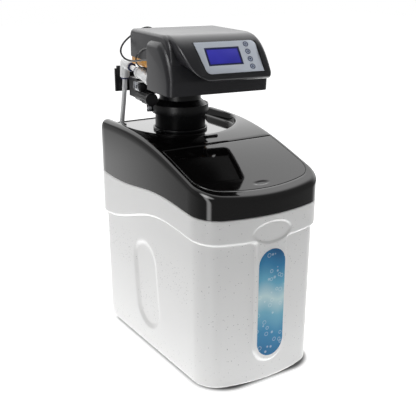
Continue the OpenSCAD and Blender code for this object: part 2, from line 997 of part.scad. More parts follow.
module drive_frame() {
    color(amber)
        on_valve()
            difference() {
                box([-frame_x, frame_front, frame_low_z], [frame_x, frame_rear, frame_top_z]);
                box([-frame_x + frame_t, frame_front + frame_t, 0],
                    [frame_x - frame_t, frame_rear - frame_t, frame_top_z - frame_t]);
                box([-block_x, frame_front - past, 0], [block_x, block_rear, far * 2]);
            }
}

// Valve cover

head_rear = 40.5;
head_edge_z = frame_top_z + run_gap_wide;
ear_rear = -52;
hood_more = 5;
ear_more = 9;
nose_front = -189;
nose_low_z = top_z - 72;
hood_r = 6;

// Side outline of the hood over the valve, set in by a distance
function hood_line(g) = concat(
    [[head_rear - g, head_edge_z - g], [head_rear - g, top_z - hood_r]],
    arc([head_rear - hood_r, top_z - hood_r], hood_r - g, 0, 90, 4),
    curve([[-100, top_z - g], [-128 + g, top_z - g], [-142 + g, top_z - 17 - g], [-146 + g, top_z - 45]], 8),
    [[-146 + g, head_edge_z - g]]);

// Side outline of the ears and the block between them
function ear_line(g) = concat(
    [[ear_rear - g, low_z - g * 3], [ear_rear - g, top_z - 29]],
    curve([[ear_rear - g, top_z - 29], [ear_rear - g, top_z - 12 - g], [-70, top_z - 12 - g]], 5),
    curve([[-108, top_z - 12 - g], [-140 + g, top_z - 25 - g],
        [-156 + g, top_z - 65], [-158 + g, low_z + 22]], 8),
    [[-156 + g, low_z - g * 3]]);

// Side outline of the nose that carries the display
function nose_line() = concat(
    [[-100, top_z]],
    curve([[-104, top_z], [-146, top_z], [-168, top_z - 25], [nose_front, nose_low_z + 6]], 12),
    [[nose_front, nose_low_z], [-150, nose_low_z - 4], [-100, nose_low_z + 10]]);

// Front outline of the nose, whose left side sweeps down in an S
function nose_front_line() = concat(
    [[head_w / 2 + hood_more, nose_low_z - 10], [head_w / 2 + hood_more, top_z + past], [-80, top_z + past]],
    curve([[-79, top_z], [-74, top_z - 50], [-52, nose_low_z - 2], [-20, nose_low_z - 2]], 12),
    [[-10, nose_low_z - 10]]);

panel_at = [17, -167, top_z - 35.5];
panel_sink = 1.2;
panel_corner_r = 10;
window_at = [-11, 2];
window_size = [67, 35];
screen_size = [60, 28.5];
key_u = 38;
key_v0 = 23.5;
post_inset = 6;
board_drop = 9;
bed_t = 6;
bed_lip = 1;
pocket_left = 5;
pocket_right = 2;
pocket_lip = 2;
pocket_reach = 20;
room_lip = 3;
nose_room = 46;
nose_room_low = 2;
belly_front = -90;
belly_gap = 0.5;
belly_x = max(head_w / 2 - head_wall, belly_gap - injector_x[0]);
post_r_board = 3;
window_gap = 0.4;
screen_gap = 0.6;
screen_t = 4;
key_lip = 0.8;
key_room = 0.2;
board_t = 1.6;
board_inset = [4, 6];
lamp_inset = [4, 4];
switch_r = 2.5;
key_flange_t = 2.7;
key_proud = 0.4;

// The display's own frame: U across, V up the slope, W out of the panel, with W = 0 behind the panel
module on_panel() {
    on_valve()
        on_slope()
            children();
}

module on_slope() {
    translate(panel_at)
        rotate([panel_tilt, 0, 0])
            translate([0, 0, -panel_sink])
                children();
}

module slab(size, centre, w0, w1) {
    translate([centre.x - size.x / 2, centre.y - size.y / 2, w0])
        cube([size.x, size.y, w1 - w0]);
}

module at_keys() {
    for (i = [0 : 3])
        translate([key_u, key_v0 - i * key_pitch, 0])
            children();
}

module at_board_posts() {
    for (u = [-1, 1], v = [-1, 1])
        translate([u * (panel_w / 2 - post_inset), v * (panel_h / 2 - post_inset), 0])
            children();
}

module valve_cover() {
    color(charcoal)
        on_valve() {
            difference() {
                union() {
                    across(hood_line(0), head_w, hood_more);
                    across(ear_line(0), ear_w, ear_more);
                    intersection() {
                        across(nose_line(), head_w, hood_more);
                        rotate([90, 0, 0])
                            linear_extrude(far)
                                polygon(nose_front_line());
                    }
                    on_slope()
                        slab([panel_w + 2 * bed_lip, panel_h], [0, 0], -bed_t, 0);
                }
                on_slope() {
                    slab([panel_w + pocket_left + pocket_right, panel_h + 2 * pocket_lip],
                        [(pocket_right - pocket_left) / 2, 0], 0, pocket_reach);
                    slab([panel_w + 2 * room_lip, panel_h + window_gap], [0, 0], -pocket_reach, -head_wall);
                    slab([panel_w + 2 * room_lip, panel_h / 2 - nose_room_low],
                        [0, panel_h / 4 - nose_room_low / 2], -nose_room, -head_wall);
                    slab(screen_size, window_at, -pocket_reach, past);
                    at_keys()
                        translate([0, 0, -pocket_reach])
                            cylinder(r = key_r + seat, h = 2 * pocket_reach);
                }
                across(hood_line(head_wall), head_w - 2 * head_wall, hood_more);
                across(ear_line(head_wall), ear_w - 2 * head_wall, ear_more);
                box([-belly_x, belly_front, low_z - past], [belly_x, head_rear - head_wall, head_edge_z]);
                for (side = [-1, 1])
                    bar(side * cover_screw_x, cover_screw_z, cover_screw_r + seat, 0, far);
            }
            on_slope()
                at_board_posts()
                    translate([0, 0, -board_drop])
                        cylinder(r = post_r_board, h = board_drop - head_wall + past);
            for (side = [-1, 1])
                difference() {
                    box([side * cover_screw_x - cover_boss.x / 2, head_rear - cover_boss.y, head_edge_z],
                        [side * cover_screw_x + cover_boss.x / 2, head_rear - head_wall + past,
                        head_edge_z + cover_boss.z]);
                    bar(side * cover_screw_x, cover_screw_z, cover_screw_r, 0, far);
                }
        }
}

cover_screw_r = 1.75;
cover_screw_x = 70;
cover_boss = [12, 14, 16];
cover_screw_z = head_edge_z + cover_boss.z / 2;
cover_screw_len = 12;
cover_screw_head = [1.8, 2];
module cover_screws() {
    color(steel)
        on_valve()
            for (side = [-1, 1]) {
                bar(side * cover_screw_x, cover_screw_z, cover_screw_r,
                    head_rear - cover_screw_len, head_rear + past);
                bar(side * cover_screw_x, cover_screw_z, cover_screw_r + cover_screw_head.x, head_rear,
                    head_rear + cover_screw_head.y);
            }
}

// Display

// The panel has two sharp corners and two round ones, opposite each other
module panel_outline() {
    w = panel_w / 2;
    h = panel_h / 2;
    r = panel_corner_r;
    polygon(concat([[-w - 3, h]], arc([-w + r + 5, -h + r], r, 180, 270, 6), [[w, -h]],
        arc([w - r, h - r], r, 0, 90, 6)));
}

module display_panel() {
    color([0.78, 0.81, 0.86])
        on_panel()
            difference() {
                linear_extrude(panel_t)
                    panel_outline();
                slab(window_size + [window_gap, window_gap], window_at, -past, panel_t + past);
                at_keys()
                    translate([0, 0, -past])
                        cylinder(r = key_r + seat, h = panel_t + 2 * past);
            }
}

module display_window() {
    color([0.16, 0.17, 0.52])
        on_panel() {
            slab(window_size, window_at, 0, panel_t);
            slab(screen_size - [screen_gap, screen_gap], window_at, -screen_t, past / 2);
        }
}

module display_board() {
    color([0.10, 0.35, 0.18])
        on_panel() {
            slab([panel_w, panel_h] - board_inset, [0, 0], -board_drop - board_t, -board_drop);
            slab(screen_size - lamp_inset, window_at, -board_drop - past / 2, -screen_t);
            at_keys()
                translate([0, 0, -board_drop - past / 2])
                    cylinder(r = switch_r, h = board_drop + past / 2 - key_depth - key_travel - key_room);
        }
}

key_depth = head_wall + seat + key_flange_t;
module key_piece(i) {
    color([0.62, 0.66, 0.72])
        on_panel()
            translate([key_u, key_v0 - i * key_pitch, -key_depth]) {
                cylinder(r = key_r, h = key_depth + panel_t + key_proud);
                cylinder(r = key_r + key_lip, h = key_flange_t);
            }
}

module menu_key() {
    key_piece(0);
}

module back_key() {
    key_piece(1);
}

module down_key() {
    key_piece(2);
}

module up_key() {
    key_piece(3);
}

// Drive

tooth = 1.5;
mesh_gap = 0.15;
gear_r = gear_teeth * tooth / 2;
pinion_r = pinion_teeth * tooth / 2;
pinion_angle = -30;
pinion_x = (gear_r + pinion_r + mesh_gap) * cos(pinion_angle);
pinion_z = axis_z + (gear_r + pinion_r + mesh_gap) * sin(pinion_angle);
gear_back = -70;
gear_front = -78;
plate_back = -81;
plate_front = -84;
fixed_disc_t = 5;
moving_disc_t = 5;
disc_gap = 0.05;
shaft_r = 9;
tip_r = 5;
pinion_shaft_r = 4;
nut_front = -69;
motor_r = 17;
motor_front = -118;
motor_boss = [8, 4];
motor_socket = 10;
pinion_in_motor = 8;
hub_inset = 4;
hub_gap = 0.4;

// Straight-flanked teeth that stand at a share of the pitch: wide at the root, narrow at the tip
module toothed(teeth, r, turn) {
    pitch = 360 / teeth;
    root = r - 1.15 * tooth;
    tip = r + 0.8 * tooth;
    polygon([for (i = [0 : teeth - 1], s = [[root, -0.29], [tip, -0.1], [tip, 0.1], [root, 0.29]])
        let (a = turn + pitch * (i + s[1])) s[0] * [cos(a), sin(a)]]);
}

module gear_wheel(x, z, teeth, r, turn) {
    translate([x, gear_back, z])
        rotate([90, 0, 0])
            linear_extrude(gear_back - gear_front)
                toothed(teeth, r, turn);
}

module fixed_disc() {
    color([0.90, 0.88, 0.84])
        on_valve()
            bar(0, axis_z, disc_r, chamber_floor - fixed_disc_t, chamber_floor);
}

moving_back = chamber_floor - fixed_disc_t - disc_gap;
hub_back = moving_back - moving_disc_t;

module moving_disc() {
    color([0.75, 0.75, 0.75])
        on_valve()
            bar(0, axis_z, disc_r - disc_room, hub_back, moving_back);
}

module drive_gear() {
    color([0.92, 0.92, 0.90])
        on_valve() {
            bar(0, axis_z, disc_r - hub_inset, chamber_front + hub_gap, hub_back);
            bar(0, axis_z, shaft_r, gear_back - past, hub_back);
            gear_wheel(0, axis_z, gear_teeth, gear_r, pinion_angle);
            bar(0, axis_z, tip_r, plate_front, gear_front + past);
        }
}

module retaining_nut() {
    color(black)
        on_valve()
            difference() {
                bar(0, axis_z, chamber_r, nut_front, chamber_front);
                bar(0, axis_z, shaft_r + run_gap, nut_front - past, chamber_front + past);
            }
}

post_x = 51;
post_drop = 37;
post_rise = 4;
post_z = [axis_z - post_drop, axis_z + post_rise];
plate_edge = 5;
plate_over = 14;
post_r = 3.5;
module drive_plate() {
    color(black)
        on_valve()
            difference() {
                union() {
                    box([-post_x - plate_edge, plate_front, post_z[0] - plate_edge],
                        [post_x + plate_edge, plate_back, axis_z + plate_over]);
                    for (side = [-1, 1], z = post_z)
                        bar(side * post_x, z, post_r, plate_back - past, block_front);
                }
                bar(0, axis_z, tip_r + run_gap, plate_front - past, plate_back + past);
                bar(pinion_x, pinion_z, pinion_shaft_r + run_gap, plate_front - past, plate_back + past);
            }
}

module gear_motor() {
    color(steel)
        on_valve()
            difference() {
                union() {
                    bar(pinion_x, pinion_z, motor_r, motor_front, plate_front);
                    bar(pinion_x, pinion_z, motor_r - motor_boss.x,
                        motor_front - motor_boss.y, motor_front + past);
                }
                bar(pinion_x, pinion_z, pinion_shaft_r + run_gap,
                    plate_front - motor_socket, plate_front + past);
            }
}

module motor_pinion() {
    color([0.85, 0.78, 0.55])
        on_valve() {
            gear_wheel(pinion_x, pinion_z, pinion_teeth, pinion_r, pinion_angle + 180 + 180 / pinion_teeth);
            bar(pinion_x, pinion_z, pinion_shaft_r, plate_front - pinion_in_motor, gear_front + past);
        }
}

// Injector and brine line

injector_y = [-98, -47];
injector_cap_t = 5;
brine_x = -78;
brine_z = axis_z - 32;
brine_tilt = 7;
connector_len = 68;
stub_len = 27;
clip_t = 3;
elbow_barrel = 34;
elbow_leg = 28;
elbow_r = 9.5;
barrel_r = 7.5;
connector_r = 11.5;
connector_waist = 1.5;
connector_foot = 16;
connector_ring = [14, 8];
stub_in_connector = 20;
stub_in_elbow = 16;
tube_in_elbow = 14;
elbow_tube_gap = 0.7;
clip_rim = 0.6;

module injector_body() {
    color(black)
        on_valve()
            box([injector_x[0], injector_y[0], arm_z[0]], [injector_x[1], injector_y[1], arm_z[1]]);
}

module injector_cover() {
    color(black)
        on_valve()
            difference() {
                box([injector_x[0], injector_y[0] - injector_cap_t, arm_z[0]],
                    [injector_x[1], injector_y[0], arm_z[1]]);
                injector_screw_lines(injector_screw_r, injector_y[0] - 2 * injector_cap_t);
            }
}

injector_screw_r = 2;
injector_screw_at = [6, 8];
injector_screw_lip = 1.7;
module injector_screw_lines(r, y0) {
    x = (injector_x[0] + injector_x[1]) / 2;
    z = (arm_z[0] + arm_z[1]) / 2;
    for (s = [-1, 1])
        bar(x + s * injector_screw_at.x, z + s * injector_screw_at.y, r, y0, injector_y[0]);
}

module injector_screws() {
    head_t = 2.5;
    cap_y = injector_y[0] - injector_cap_t;
    color(steel)
        on_valve() {
            injector_screw_lines(injector_screw_r, cap_y - past);
            difference() {
                injector_screw_lines(injector_screw_r + injector_screw_lip, cap_y - head_t);
                box([-far, cap_y, 0], [far, far, 2 * far]);
            }
        }
}

// The brine line's own frame starts on the injector's rear face, with Z along the line
module on_brine_line() {
    on_valve()
        translate([brine_x, injector_y[1], brine_z])
            rotate([brine_tilt - 90, 0, 0])
                children();
}

module bored(bore, length) {
    difference() {
        children();
        translate([0, 0, -length])
            cylinder(r = bore, h = 3 * length);
    }
}

module rod(r, z0, z1) {
    translate([0, 0, z0])
        cylinder(r = r, h = z1 - z0);
}

clip_a = connector_len + clip_t;
clip_b = clip_a + stub_len;
elbow_start = clip_b + clip_t;
elbow_turn = elbow_start + elbow_barrel;

module brine_connector() {
    color(white)
        on_brine_line()
            difference() {
                union() {
                    rod(connector_r, connector_r * tan(brine_tilt) + run_gap_wide, connector_foot);
                    rod(connector_r - connector_waist, connector_foot - past,
                        connector_len - connector_ring[0] + past);
                    rod(connector_r, connector_len - connector_ring[0], connector_len - connector_ring[1]);
                    rod(barrel_r, connector_len - connector_ring[1] - past, connector_len);
                }
                rod(tube_r, connector_len - stub_in_connector, connector_len + past);
            }
}

module clip_ring(z, r, bore = tube_r) {
    bored(bore, far)
        rod(r, z, z + clip_t);
}

module collet_clips() {
    color(navy) {
        on_brine_line() {
            clip_ring(connector_len, barrel_r + clip_rim);
            clip_ring(clip_b, barrel_r + clip_rim);
        }
        on_elbow_leg()
            clip_ring(elbow_leg, barrel_r + clip_rim, tube_r + elbow_tube_gap);
    }
}

module stub_tube() {
    color(white)
        on_brine_line()
            rod(tube_r, connector_len - stub_in_connector, elbow_start + stub_in_elbow);
}

// The elbow's leg hangs down from the turn, square to the line
module on_elbow_leg() {
    on_brine_line()
        translate([0, 0, elbow_turn])
            rotate([-90, 0, 0])
                children();
}

module brine_elbow() {
    color(white)
        difference() {
            union() {
                on_brine_line()
                    rod(elbow_r, elbow_start, elbow_turn);
                on_elbow_leg() {
                    sphere(r = elbow_r);
                    rod(elbow_r, 0, elbow_leg);
                }
            }
            on_brine_line()
                rod(tube_r, elbow_start - past, elbow_start + stub_in_elbow);
            on_elbow_leg()
                rod(tube_r + elbow_tube_gap, elbow_leg - tube_in_elbow, elbow_leg + past);
        }
}

// The brine housing stands on the valve's left: a block, a boss against the valve and a ribbed plug
housing_x = [-76, -58];
housing_y = [34, 72];
housing_z = [ports_z - 24, ports_z + 13];
boss_x = [-80, -block_x - run_gap];
boss_y = [6, 36];
boss_z = [ports_z - 8, ports_z + 10];
plug_x = -70;
plug_z = ports_z - 18;
plug_r = 10.5;
plug_y = [-26, 36];
plug_rim = [12, 5];
rib_r = 1.4;
rib_y = [-22, 8];
clip_plate_t = 1.4;
clip_plate_y = [10, 30];
clip_plate_z = [boss_z[0] + 2, boss_z[1] - 1];
clip_slot_y = [16, 24];
clip_slot_z = [boss_z[0] + 5, boss_z[1] - 6];
clip_lug = [2.6, 2];

module brine_housing() {
    color(black)
        on_valve()
            union() {
                box([housing_x[0], housing_y[0], housing_z[0]], [housing_x[1], housing_y[1], housing_z[1]]);
                box([boss_x[0], boss_y[0], boss_z[0]], [boss_x[1], boss_y[1], boss_z[1]]);
                bar(plug_x, plug_z, plug_r, plug_y[0], plug_y[1]);
                bar(plug_x, plug_z, plug_rim[0], plug_y[0], plug_y[0] + plug_rim[1]);
                for (a = [0 : 30 : 359])
                    bar(plug_x + plug_r * cos(a), plug_z + plug_r * sin(a), rib_r, rib_y[0], rib_y[1], 16);
            }
}

// A spring clip on the boss: a slotted plate with two lugs turned outwards
module brine_clip() {
    plate_x = boss_x[0] - clip_plate_t;
    color(steel)
        on_valve()
            difference() {
                union() {
                    box([plate_x, clip_plate_y[0], clip_plate_z[0]],
                        [boss_x[0], clip_plate_y[1], clip_plate_z[1]]);
                    for (y = [clip_plate_y[0], clip_plate_y[1] - clip_lug.y])
                        box([plate_x - clip_lug.x, y, clip_slot_z[0]],
                            [plate_x + past / 2, y + clip_lug.y, clip_plate_z[1]]);
                }
                box([plate_x - past, clip_slot_y[0], clip_slot_z[0]],
                    [boss_x[0] + past, clip_slot_y[1], clip_slot_z[1]]);
            }
}

// Cords and tubes swept along their routes

function unit(v) = v / norm(v);
function heading(p, i) = unit(p[min(i + 1, len(p) - 1)] - p[max(i - 1, 0)]);
function side_of(t) = unit(cross(t, abs(t.z) > 0.8 ? [0, 1, 0] : [0, 0, 1]));
function carried(side, t) = unit(side - (side * t) * t);
function sides_along(p, i = 1, done = []) =
    let (found = len(done) == 0 ? [side_of(heading(p, 0))] : done)
    i >= len(p) ? found : sides_along(p, i + 1, concat(found, [carried(found[i - 1], heading(p, i))]));
function spline(a, b, c, d, t) =
    0.5 * (2 * b + (c - a) * t + (2 * a - 5 * b + 4 * c - d) * t * t + (3 * b - a - 3 * c + d) * t * t * t);
function smooth(p, steps) = concat(
    [for (i = [0 : len(p) - 2], k = [0 : steps - 1])
        spline(p[max(i - 1, 0)], p[i], p[i + 1], p[min(i + 2, len(p) - 1)], k / steps)],
    [p[len(p) - 1]]);

module swept(path, r, sides) {
    frames = sides_along(path);
    rings = len(path);
    points = [for (i = [0 : rings - 1], k = [0 : sides - 1])
        let (t = heading(path, i), u = frames[i], v = cross(t, u), a = 360 * k / sides)
        path[i] + r * (cos(a) * u + sin(a) * v)];
    walls = [for (i = [0 : rings - 2], k = [0 : sides - 1], half = [0, 1])
        let (a = i * sides + k, b = i * sides + (k + 1) % sides)
        half == 0 ? [a, a + sides, b] : [b, a + sides, b + sides]];
    caps = [[for (k = [0 : sides - 1]) k], [for (k = [sides - 1 : -1 : 0]) (rings - 1) * sides + k]];
    polyhedron(points, concat(walls, caps));
}

// Brine tube: from the elbow through the deck into the brine well
tube_route = [[-68.28, 188.55, 509], [-68.12, 190.06, 496.66], [-67.97, 191.52, 484.75], [-70, 190.5, 466],
    [-74.5, 187, 443], [-80, 182, 420],
    [-83.5, 178.5, 402], [-83, 176, 388], [-81.5, 174.5, 376], [-81, 174, 362], [-81, 174, 320],
    [-81, 174, 260],
    [-81, 174, 180], [-81, 174, 100], [-81, 174, 33]];
// Sensor lead, in the valve's frame and from its drive axis: rear of the valve cover to the left ear
sensor_route = [[-25, 41, 37], [-25, 46, 38], [-29, 52, 47], [-37, 54, 52.5], [-47, 55, 53], [-60, 54, 49],
    [-74, 53, 41.5], [-88, 51, 32], [-98, 48, 22], [-102, 45, 12], [-101, 39, 4], [-98, 28, -1],
    [-95, 12, -2], [-93, -10, 0], [-90, -32, 4], [-88, -51, 6]];
// Motor lead: a loose bow from the left ear back to the injector, in the valve's frame, from its drive axis
motor_route = [[-88, -51, 26], [-88, -38, 25], [-88, -22, 20], [-88.2, -7, 13], [-88.5, 1, 6],
    [-88.5, 2, -1], [-88, -2, -7], [-86, -13, -11], [-81, -27, -13], [-75, -39, -15], [-74, -46, -16]];
sensor_lead_r = 1.9;
motor_lead_r = 1.3;

module brine_tube() {
    color([0.95, 0.95, 0.94])
        swept(smooth(tube_route, 2), tube_r, 12);
}

module sensor_lead() {
    color(black)
        on_valve()
            translate([0, 0, axis_z])
                swept(smooth(sensor_route, 2), sensor_lead_r, 8);
}

module motor_lead() {
    color(black)
        on_valve()
            translate([0, 0, axis_z])
                swept(smooth(motor_route, 2), motor_lead_r, 8);
}

// Ports

tail_lip = 1.8;
tail_r = port_r + tail_lip;
tail_end = 130;
thread_len = 18;
flange_r = port_r + socket_lip;
flange_t = 4;
nut_lip = 5;
nut_back = 10;
nut_over = 4;
nut_r = flange_r + nut_lip;
spider_y = [66, 69];
axle_r = 1;
turbine_gap = 1;
turbine_r = port_bore_r - turbine_gap;
spider_hub_r = 2.5;
spider_t = 1.5;
spider_in = 0.5;
turbine_hub_r = 3;
blade = [1.2, 10];
blade_inset = 0.6;
blade_turn = 35;
tab_x = [4, 12];
tab_h = 5;
turbine_y = [71, 84];
bracket_gap = 5.76;
bracket_t = 6;
bracket_front = injector_y[1] + (elbow_turn + elbow_r) * cos(brine_tilt) + bracket_gap;
bracket_y = [bracket_front, bracket_front + bracket_t];
bracket_x = 93;
bracket_drop = 20;
bracket_rise = 25;
bracket_z = [ports_z - bracket_drop, ports_z + bracket_rise];

module port_tail(side) {
    difference() {
        union() {
            bar(side * port_x, ports_z, flange_r, port_face, port_face + flange_t);
            bar(side * port_x, ports_z, tail_r, port_face, tail_end - thread_len);
            bar(side * port_x, ports_z, port_r, port_face, tail_end);
        }
        bar(side * port_x, ports_z, port_bore_r, port_face - past, tail_end + past);
    }
}

module inlet_tail() {
    color(black)
        on_valve()
            port_tail(1);
}

// The outlet tail also holds a spider on which the flow turbine's axle runs
module outlet_tail() {
    color(black)
        on_valve() {
            port_tail(-1);
            difference() {
                union() {
                    bar(-port_x, ports_z, spider_hub_r, spider_y[0], spider_y[1]);
                    for (a = [0, 60, 120])
                        translate([-port_x, spider_y[0], ports_z])
                            rotate([0, a, 0])
                                box([-port_bore_r - spider_in, 0, -spider_t / 2],
                                    [port_bore_r + spider_in, spider_y[1] - spider_y[0], spider_t / 2]);
                }
                bar(-port_x, ports_z, axle_r + run_gap, 0, far);
            }
        }
}

module flow_turbine() {
    color([0.30, 0.45, 0.75])
        on_valve() {
            bar(-port_x, ports_z, turbine_hub_r, turbine_y[0], turbine_y[1]);
            bar(-port_x, ports_z, axle_r, spider_y[0] - past, turbine_y[1] + 2);
            for (a = [0 : 60 : 359])
                translate([-port_x, turbine_y[0] + 1, ports_z])
                    rotate([0, a, 0])
                        rotate([0, 0, blade_turn])
                            box([0, 0, 0], [blade.x, blade.y, turbine_r - blade_inset]);
        }
}

module port_nuts() {
    color(black)
        on_valve()
            for (side = [-1, 1])
                difference() {
                    bar(side * port_x, ports_z, nut_r,
                        port_face - nut_back, port_face + flange_t + nut_over, 8);
                    bar(side * port_x, ports_z, flange_r, 0, port_face + flange_t);
                    bar(side * port_x, ports_z, tail_r, 0, far);
                }
}

module port_bracket() {
    color(black)
        on_valve()
            difference() {
                union() {
                    box([-bracket_x, bracket_y[0], bracket_z[0]], [bracket_x, bracket_y[1], bracket_z[1]]);
                    box([-bracket_x + tab_x[0], bracket_y[0], bracket_z[1] - past],
                        [-bracket_x + tab_x[1], bracket_y[1], bracket_z[1] + tab_h]);
                }
                for (side = [-1, 1])
                    bar(side * port_x, ports_z, tail_r, 0, far);
            }
}

drain_x = [block_x + drain_boss_h - past, block_x + 40];
drain_wall = 2.2;
drain_bore_r = drain_r - drain_wall;
drain_hex = [4, 8];
drain_web = 6;
module drain_fitting() {
    color(black)
        on_valve()
            translate([drain_x[0], 0, drain_z])
                rotate([0, 90, 0])
                    difference() {
                        union() {
                            cylinder(r = drain_r + drain_hex.x, h = drain_hex.y, $fn = 6);
                            cylinder(r = drain_r, h = drain_x[1] - drain_x[0]);
                        }
                        translate([0, 0, drain_web])
                            cylinder(r = drain_bore_r, h = far);
                    }
}

cabinet();
front_label();
top_cover();
salt_lid();
neck_collar();
tube_grommet();
overflow_elbow();
overflow_seal();
overflow_nut();
pressure_vessel();
vessel_neck();
vessel_foot();
resin_bed();
riser_tube();
lower_strainer();
upper_strainer();
brine_well();
brine_well_cap();
brine_valve_body();
float_rod();
brine_float();
valve_body();
neck_seal();
clamp_ring();
clamp_screw();
drive_frame();
valve_cover();
display_panel();
display_window();
display_board();
menu_key();
back_key();
down_key();
up_key();
fixed_disc();
moving_disc();
drive_gear();
retaining_nut();
drive_plate();
gear_motor();
motor_pinion();
injector_body();
injector_cover();
injector_screws();
brine_connector();
collet_clips();
stub_tube();
brine_elbow();
brine_housing();
brine_clip();
brine_tube();
inlet_tail();
outlet_tail();
port_nuts();
port_bracket();
flow_turbine();
drain_fitting();
cover_screws();
sensor_lead();
motor_lead();
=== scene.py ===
"""Dresses the solids of a cabinet water softener for a studio picture."""
import json
import math
from bisect import bisect_right

import bpy
from bpy.props import FloatProperty, FloatVectorProperty, PointerProperty
from mathutils import Matrix, Vector

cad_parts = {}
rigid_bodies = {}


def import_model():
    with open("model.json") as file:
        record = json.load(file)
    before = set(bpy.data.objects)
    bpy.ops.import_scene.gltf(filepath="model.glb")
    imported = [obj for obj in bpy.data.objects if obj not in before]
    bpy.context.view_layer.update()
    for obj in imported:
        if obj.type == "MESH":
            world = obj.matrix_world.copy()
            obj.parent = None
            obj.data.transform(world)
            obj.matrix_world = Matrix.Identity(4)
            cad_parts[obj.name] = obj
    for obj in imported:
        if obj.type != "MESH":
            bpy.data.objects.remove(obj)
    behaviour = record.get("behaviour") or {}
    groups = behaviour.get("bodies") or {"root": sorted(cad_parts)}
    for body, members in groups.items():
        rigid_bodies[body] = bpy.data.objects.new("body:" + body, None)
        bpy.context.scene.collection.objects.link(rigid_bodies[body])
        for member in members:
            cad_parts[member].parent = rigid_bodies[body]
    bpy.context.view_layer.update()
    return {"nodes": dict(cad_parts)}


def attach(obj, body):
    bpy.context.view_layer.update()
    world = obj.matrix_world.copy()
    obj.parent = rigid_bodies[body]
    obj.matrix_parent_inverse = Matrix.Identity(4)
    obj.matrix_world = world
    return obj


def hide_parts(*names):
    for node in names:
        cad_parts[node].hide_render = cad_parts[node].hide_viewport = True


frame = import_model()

bl_info = {
    "name": "Cabinet water softener",
    "version": (1, 0, 0),
    "blender": (4, 5, 0),
    "location": "3D View > Sidebar > Softener",
    "description": "Dresses the solids of a cabinet water softener",
    "category": "Object",
}

NODES = frame["nodes"]
MM = 0.001

# Sizes of the solids, in millimetres, that the skins follow
HALF_W, FRONT_Y, REAR_Y = 123.0, -206.5, 206.5
BOW_R, FRONT_R, REAR_R = 300.0, 48.0, 38.0
WALL, FLOOR, PROUD = 4.0, 5.0, 5.5
RIM_KNOTS = ((-201.5, 314.0), (-44.5, 325.0), (112.5, 314.0), (269.5, 325.0))
BAND_KNOTS = ((-206.5, 268.0), (-53.5, 278.0), (176.5, 231.0), (206.5, 231.0))
PAD_HALF_W, PAD_BOTTOM = 32.5, 37.0
BADGE_AT, BADGE_HALF = (0.0, 283.0), (38.5, 18.5)
HOLLOW_ENDS, HOLLOW_R = ((23.5, 171.0), (15.5, 82.0)), 43.0
CROWN = ((-212.0, 347.0), (-68.5, 392.0), (-8.5, 424.0), (141.5, 422.0))
RAIL_END, CREST_Z, LIP_Z, DECK_Z = 166.0, 422.0, 405.5, 404.0
NECK = Vector((0.0, 92.0))
BASIN_HALF_W, BASIN_FRONT, BASIN_REAR, BASIN_R = 114.0, 92.0, 200.5, 30.0
NECK_HOLE_R = 49.5
SALT_HALF_W, SALT_FRONT, SALT_REAR, SALT_R = 117.5, -188.5, -40.5, 45.0
HINGE_Y, HINGE_Z, BEAD_R = -43.5, 397.98, 2.5
NOTCH_AT, NOTCH_HALF = (0.0, -173.5), (15.0, 5.5)
VALVE_YAW = math.radians(-6.0)
AXIS_Z, TOP_Z, LOW_Z = 540.0, 595.0, 495.5
# Half width, front, radius of the bow and of the front corners
FRONT_SHAPE = (HALF_W, FRONT_Y, BOW_R, FRONT_R)
SALT_SHAPE = (SALT_HALF_W, SALT_FRONT, BOW_R, SALT_R)
# How far apart places on a bow stand, as a share of a step, and where the last one may be
BOW_APART, BOW_END = 0.4, 0.995


def clamp(value):
    return min(1.0, max(0.0, value))


def smooth_step(value):
    t = clamp(value)
    return t * t * (3 - 2 * t)


def lerp(a, b, t):
    return a + (b - a) * t


def spread(a, b, count):
    """Values from a to just short of b."""
    return [lerp(a, b, i / count) for i in range(count)]


def round_over(steps):
    """What a quarter turn takes off a radius, sideways and upwards."""
    turns = [math.pi / 2 * i / steps for i in range(steps + 1)]
    return [(1 - math.cos(t), 1 - math.sin(t)) for t in turns]


# Outlines of the mouldings


def swell(y, a, b):
    """An even rise from one point to another."""
    t = clamp((y - a[0]) / (b[0] - a[0]))
    return lerp(a[1], b[1], (1 - math.cos(math.pi * t)) / 2)


def wave(y, knots):
    for a, b in zip(knots, knots[1:]):
        if y < b[0]:
            return swell(y, a, b)
    return knots[-1][1]


def bezier(points, t):
    while len(points) > 1:
        points = [tuple(lerp(a, b, t) for a, b in zip(p, q)) for p, q in zip(points, points[1:])]
    return points[0]


def curve(points, steps):
    return [bezier(points, i / steps) for i in range(steps + 1)]


CROWN_TABLE = curve(CROWN, 240)


def crown(y):
    """Height of the top cover's roof."""
    if y <= CROWN_TABLE[-1][0]:
        index = min(max(bisect_right(CROWN_TABLE, (y, math.inf)), 1), len(CROWN_TABLE) - 1)
        (y0, z0), (y1, z1) = CROWN_TABLE[index - 1:index + 1]
        return lerp(z0, z1, (y - y0) / (y1 - y0))
    if y <= RAIL_END:
        return CREST_Z
    return LIP_Z + math.sqrt(max(0.0, (CREST_Z - LIP_Z) ** 2 - (y - RAIL_END) ** 2))


def arc(centre, r, angles):
    """Points on an arc with their outward directions."""
    ways = [(math.cos(a), math.sin(a)) for a in angles]
    return [((centre[0] + r * c, centre[1] + r * s), (c, s)) for c, s in ways]


def bow_corner(half_w, front, r_bow, r_corner):
    """Centre of a front corner and the swing of the bow that meets it."""
    cx = half_w - r_corner
    bow_y = front + r_bow
    cy = bow_y - math.sqrt((r_bow - r_corner) ** 2 - cx * cx)
    return cx, cy, bow_y, math.atan2(cx, bow_y - cy)


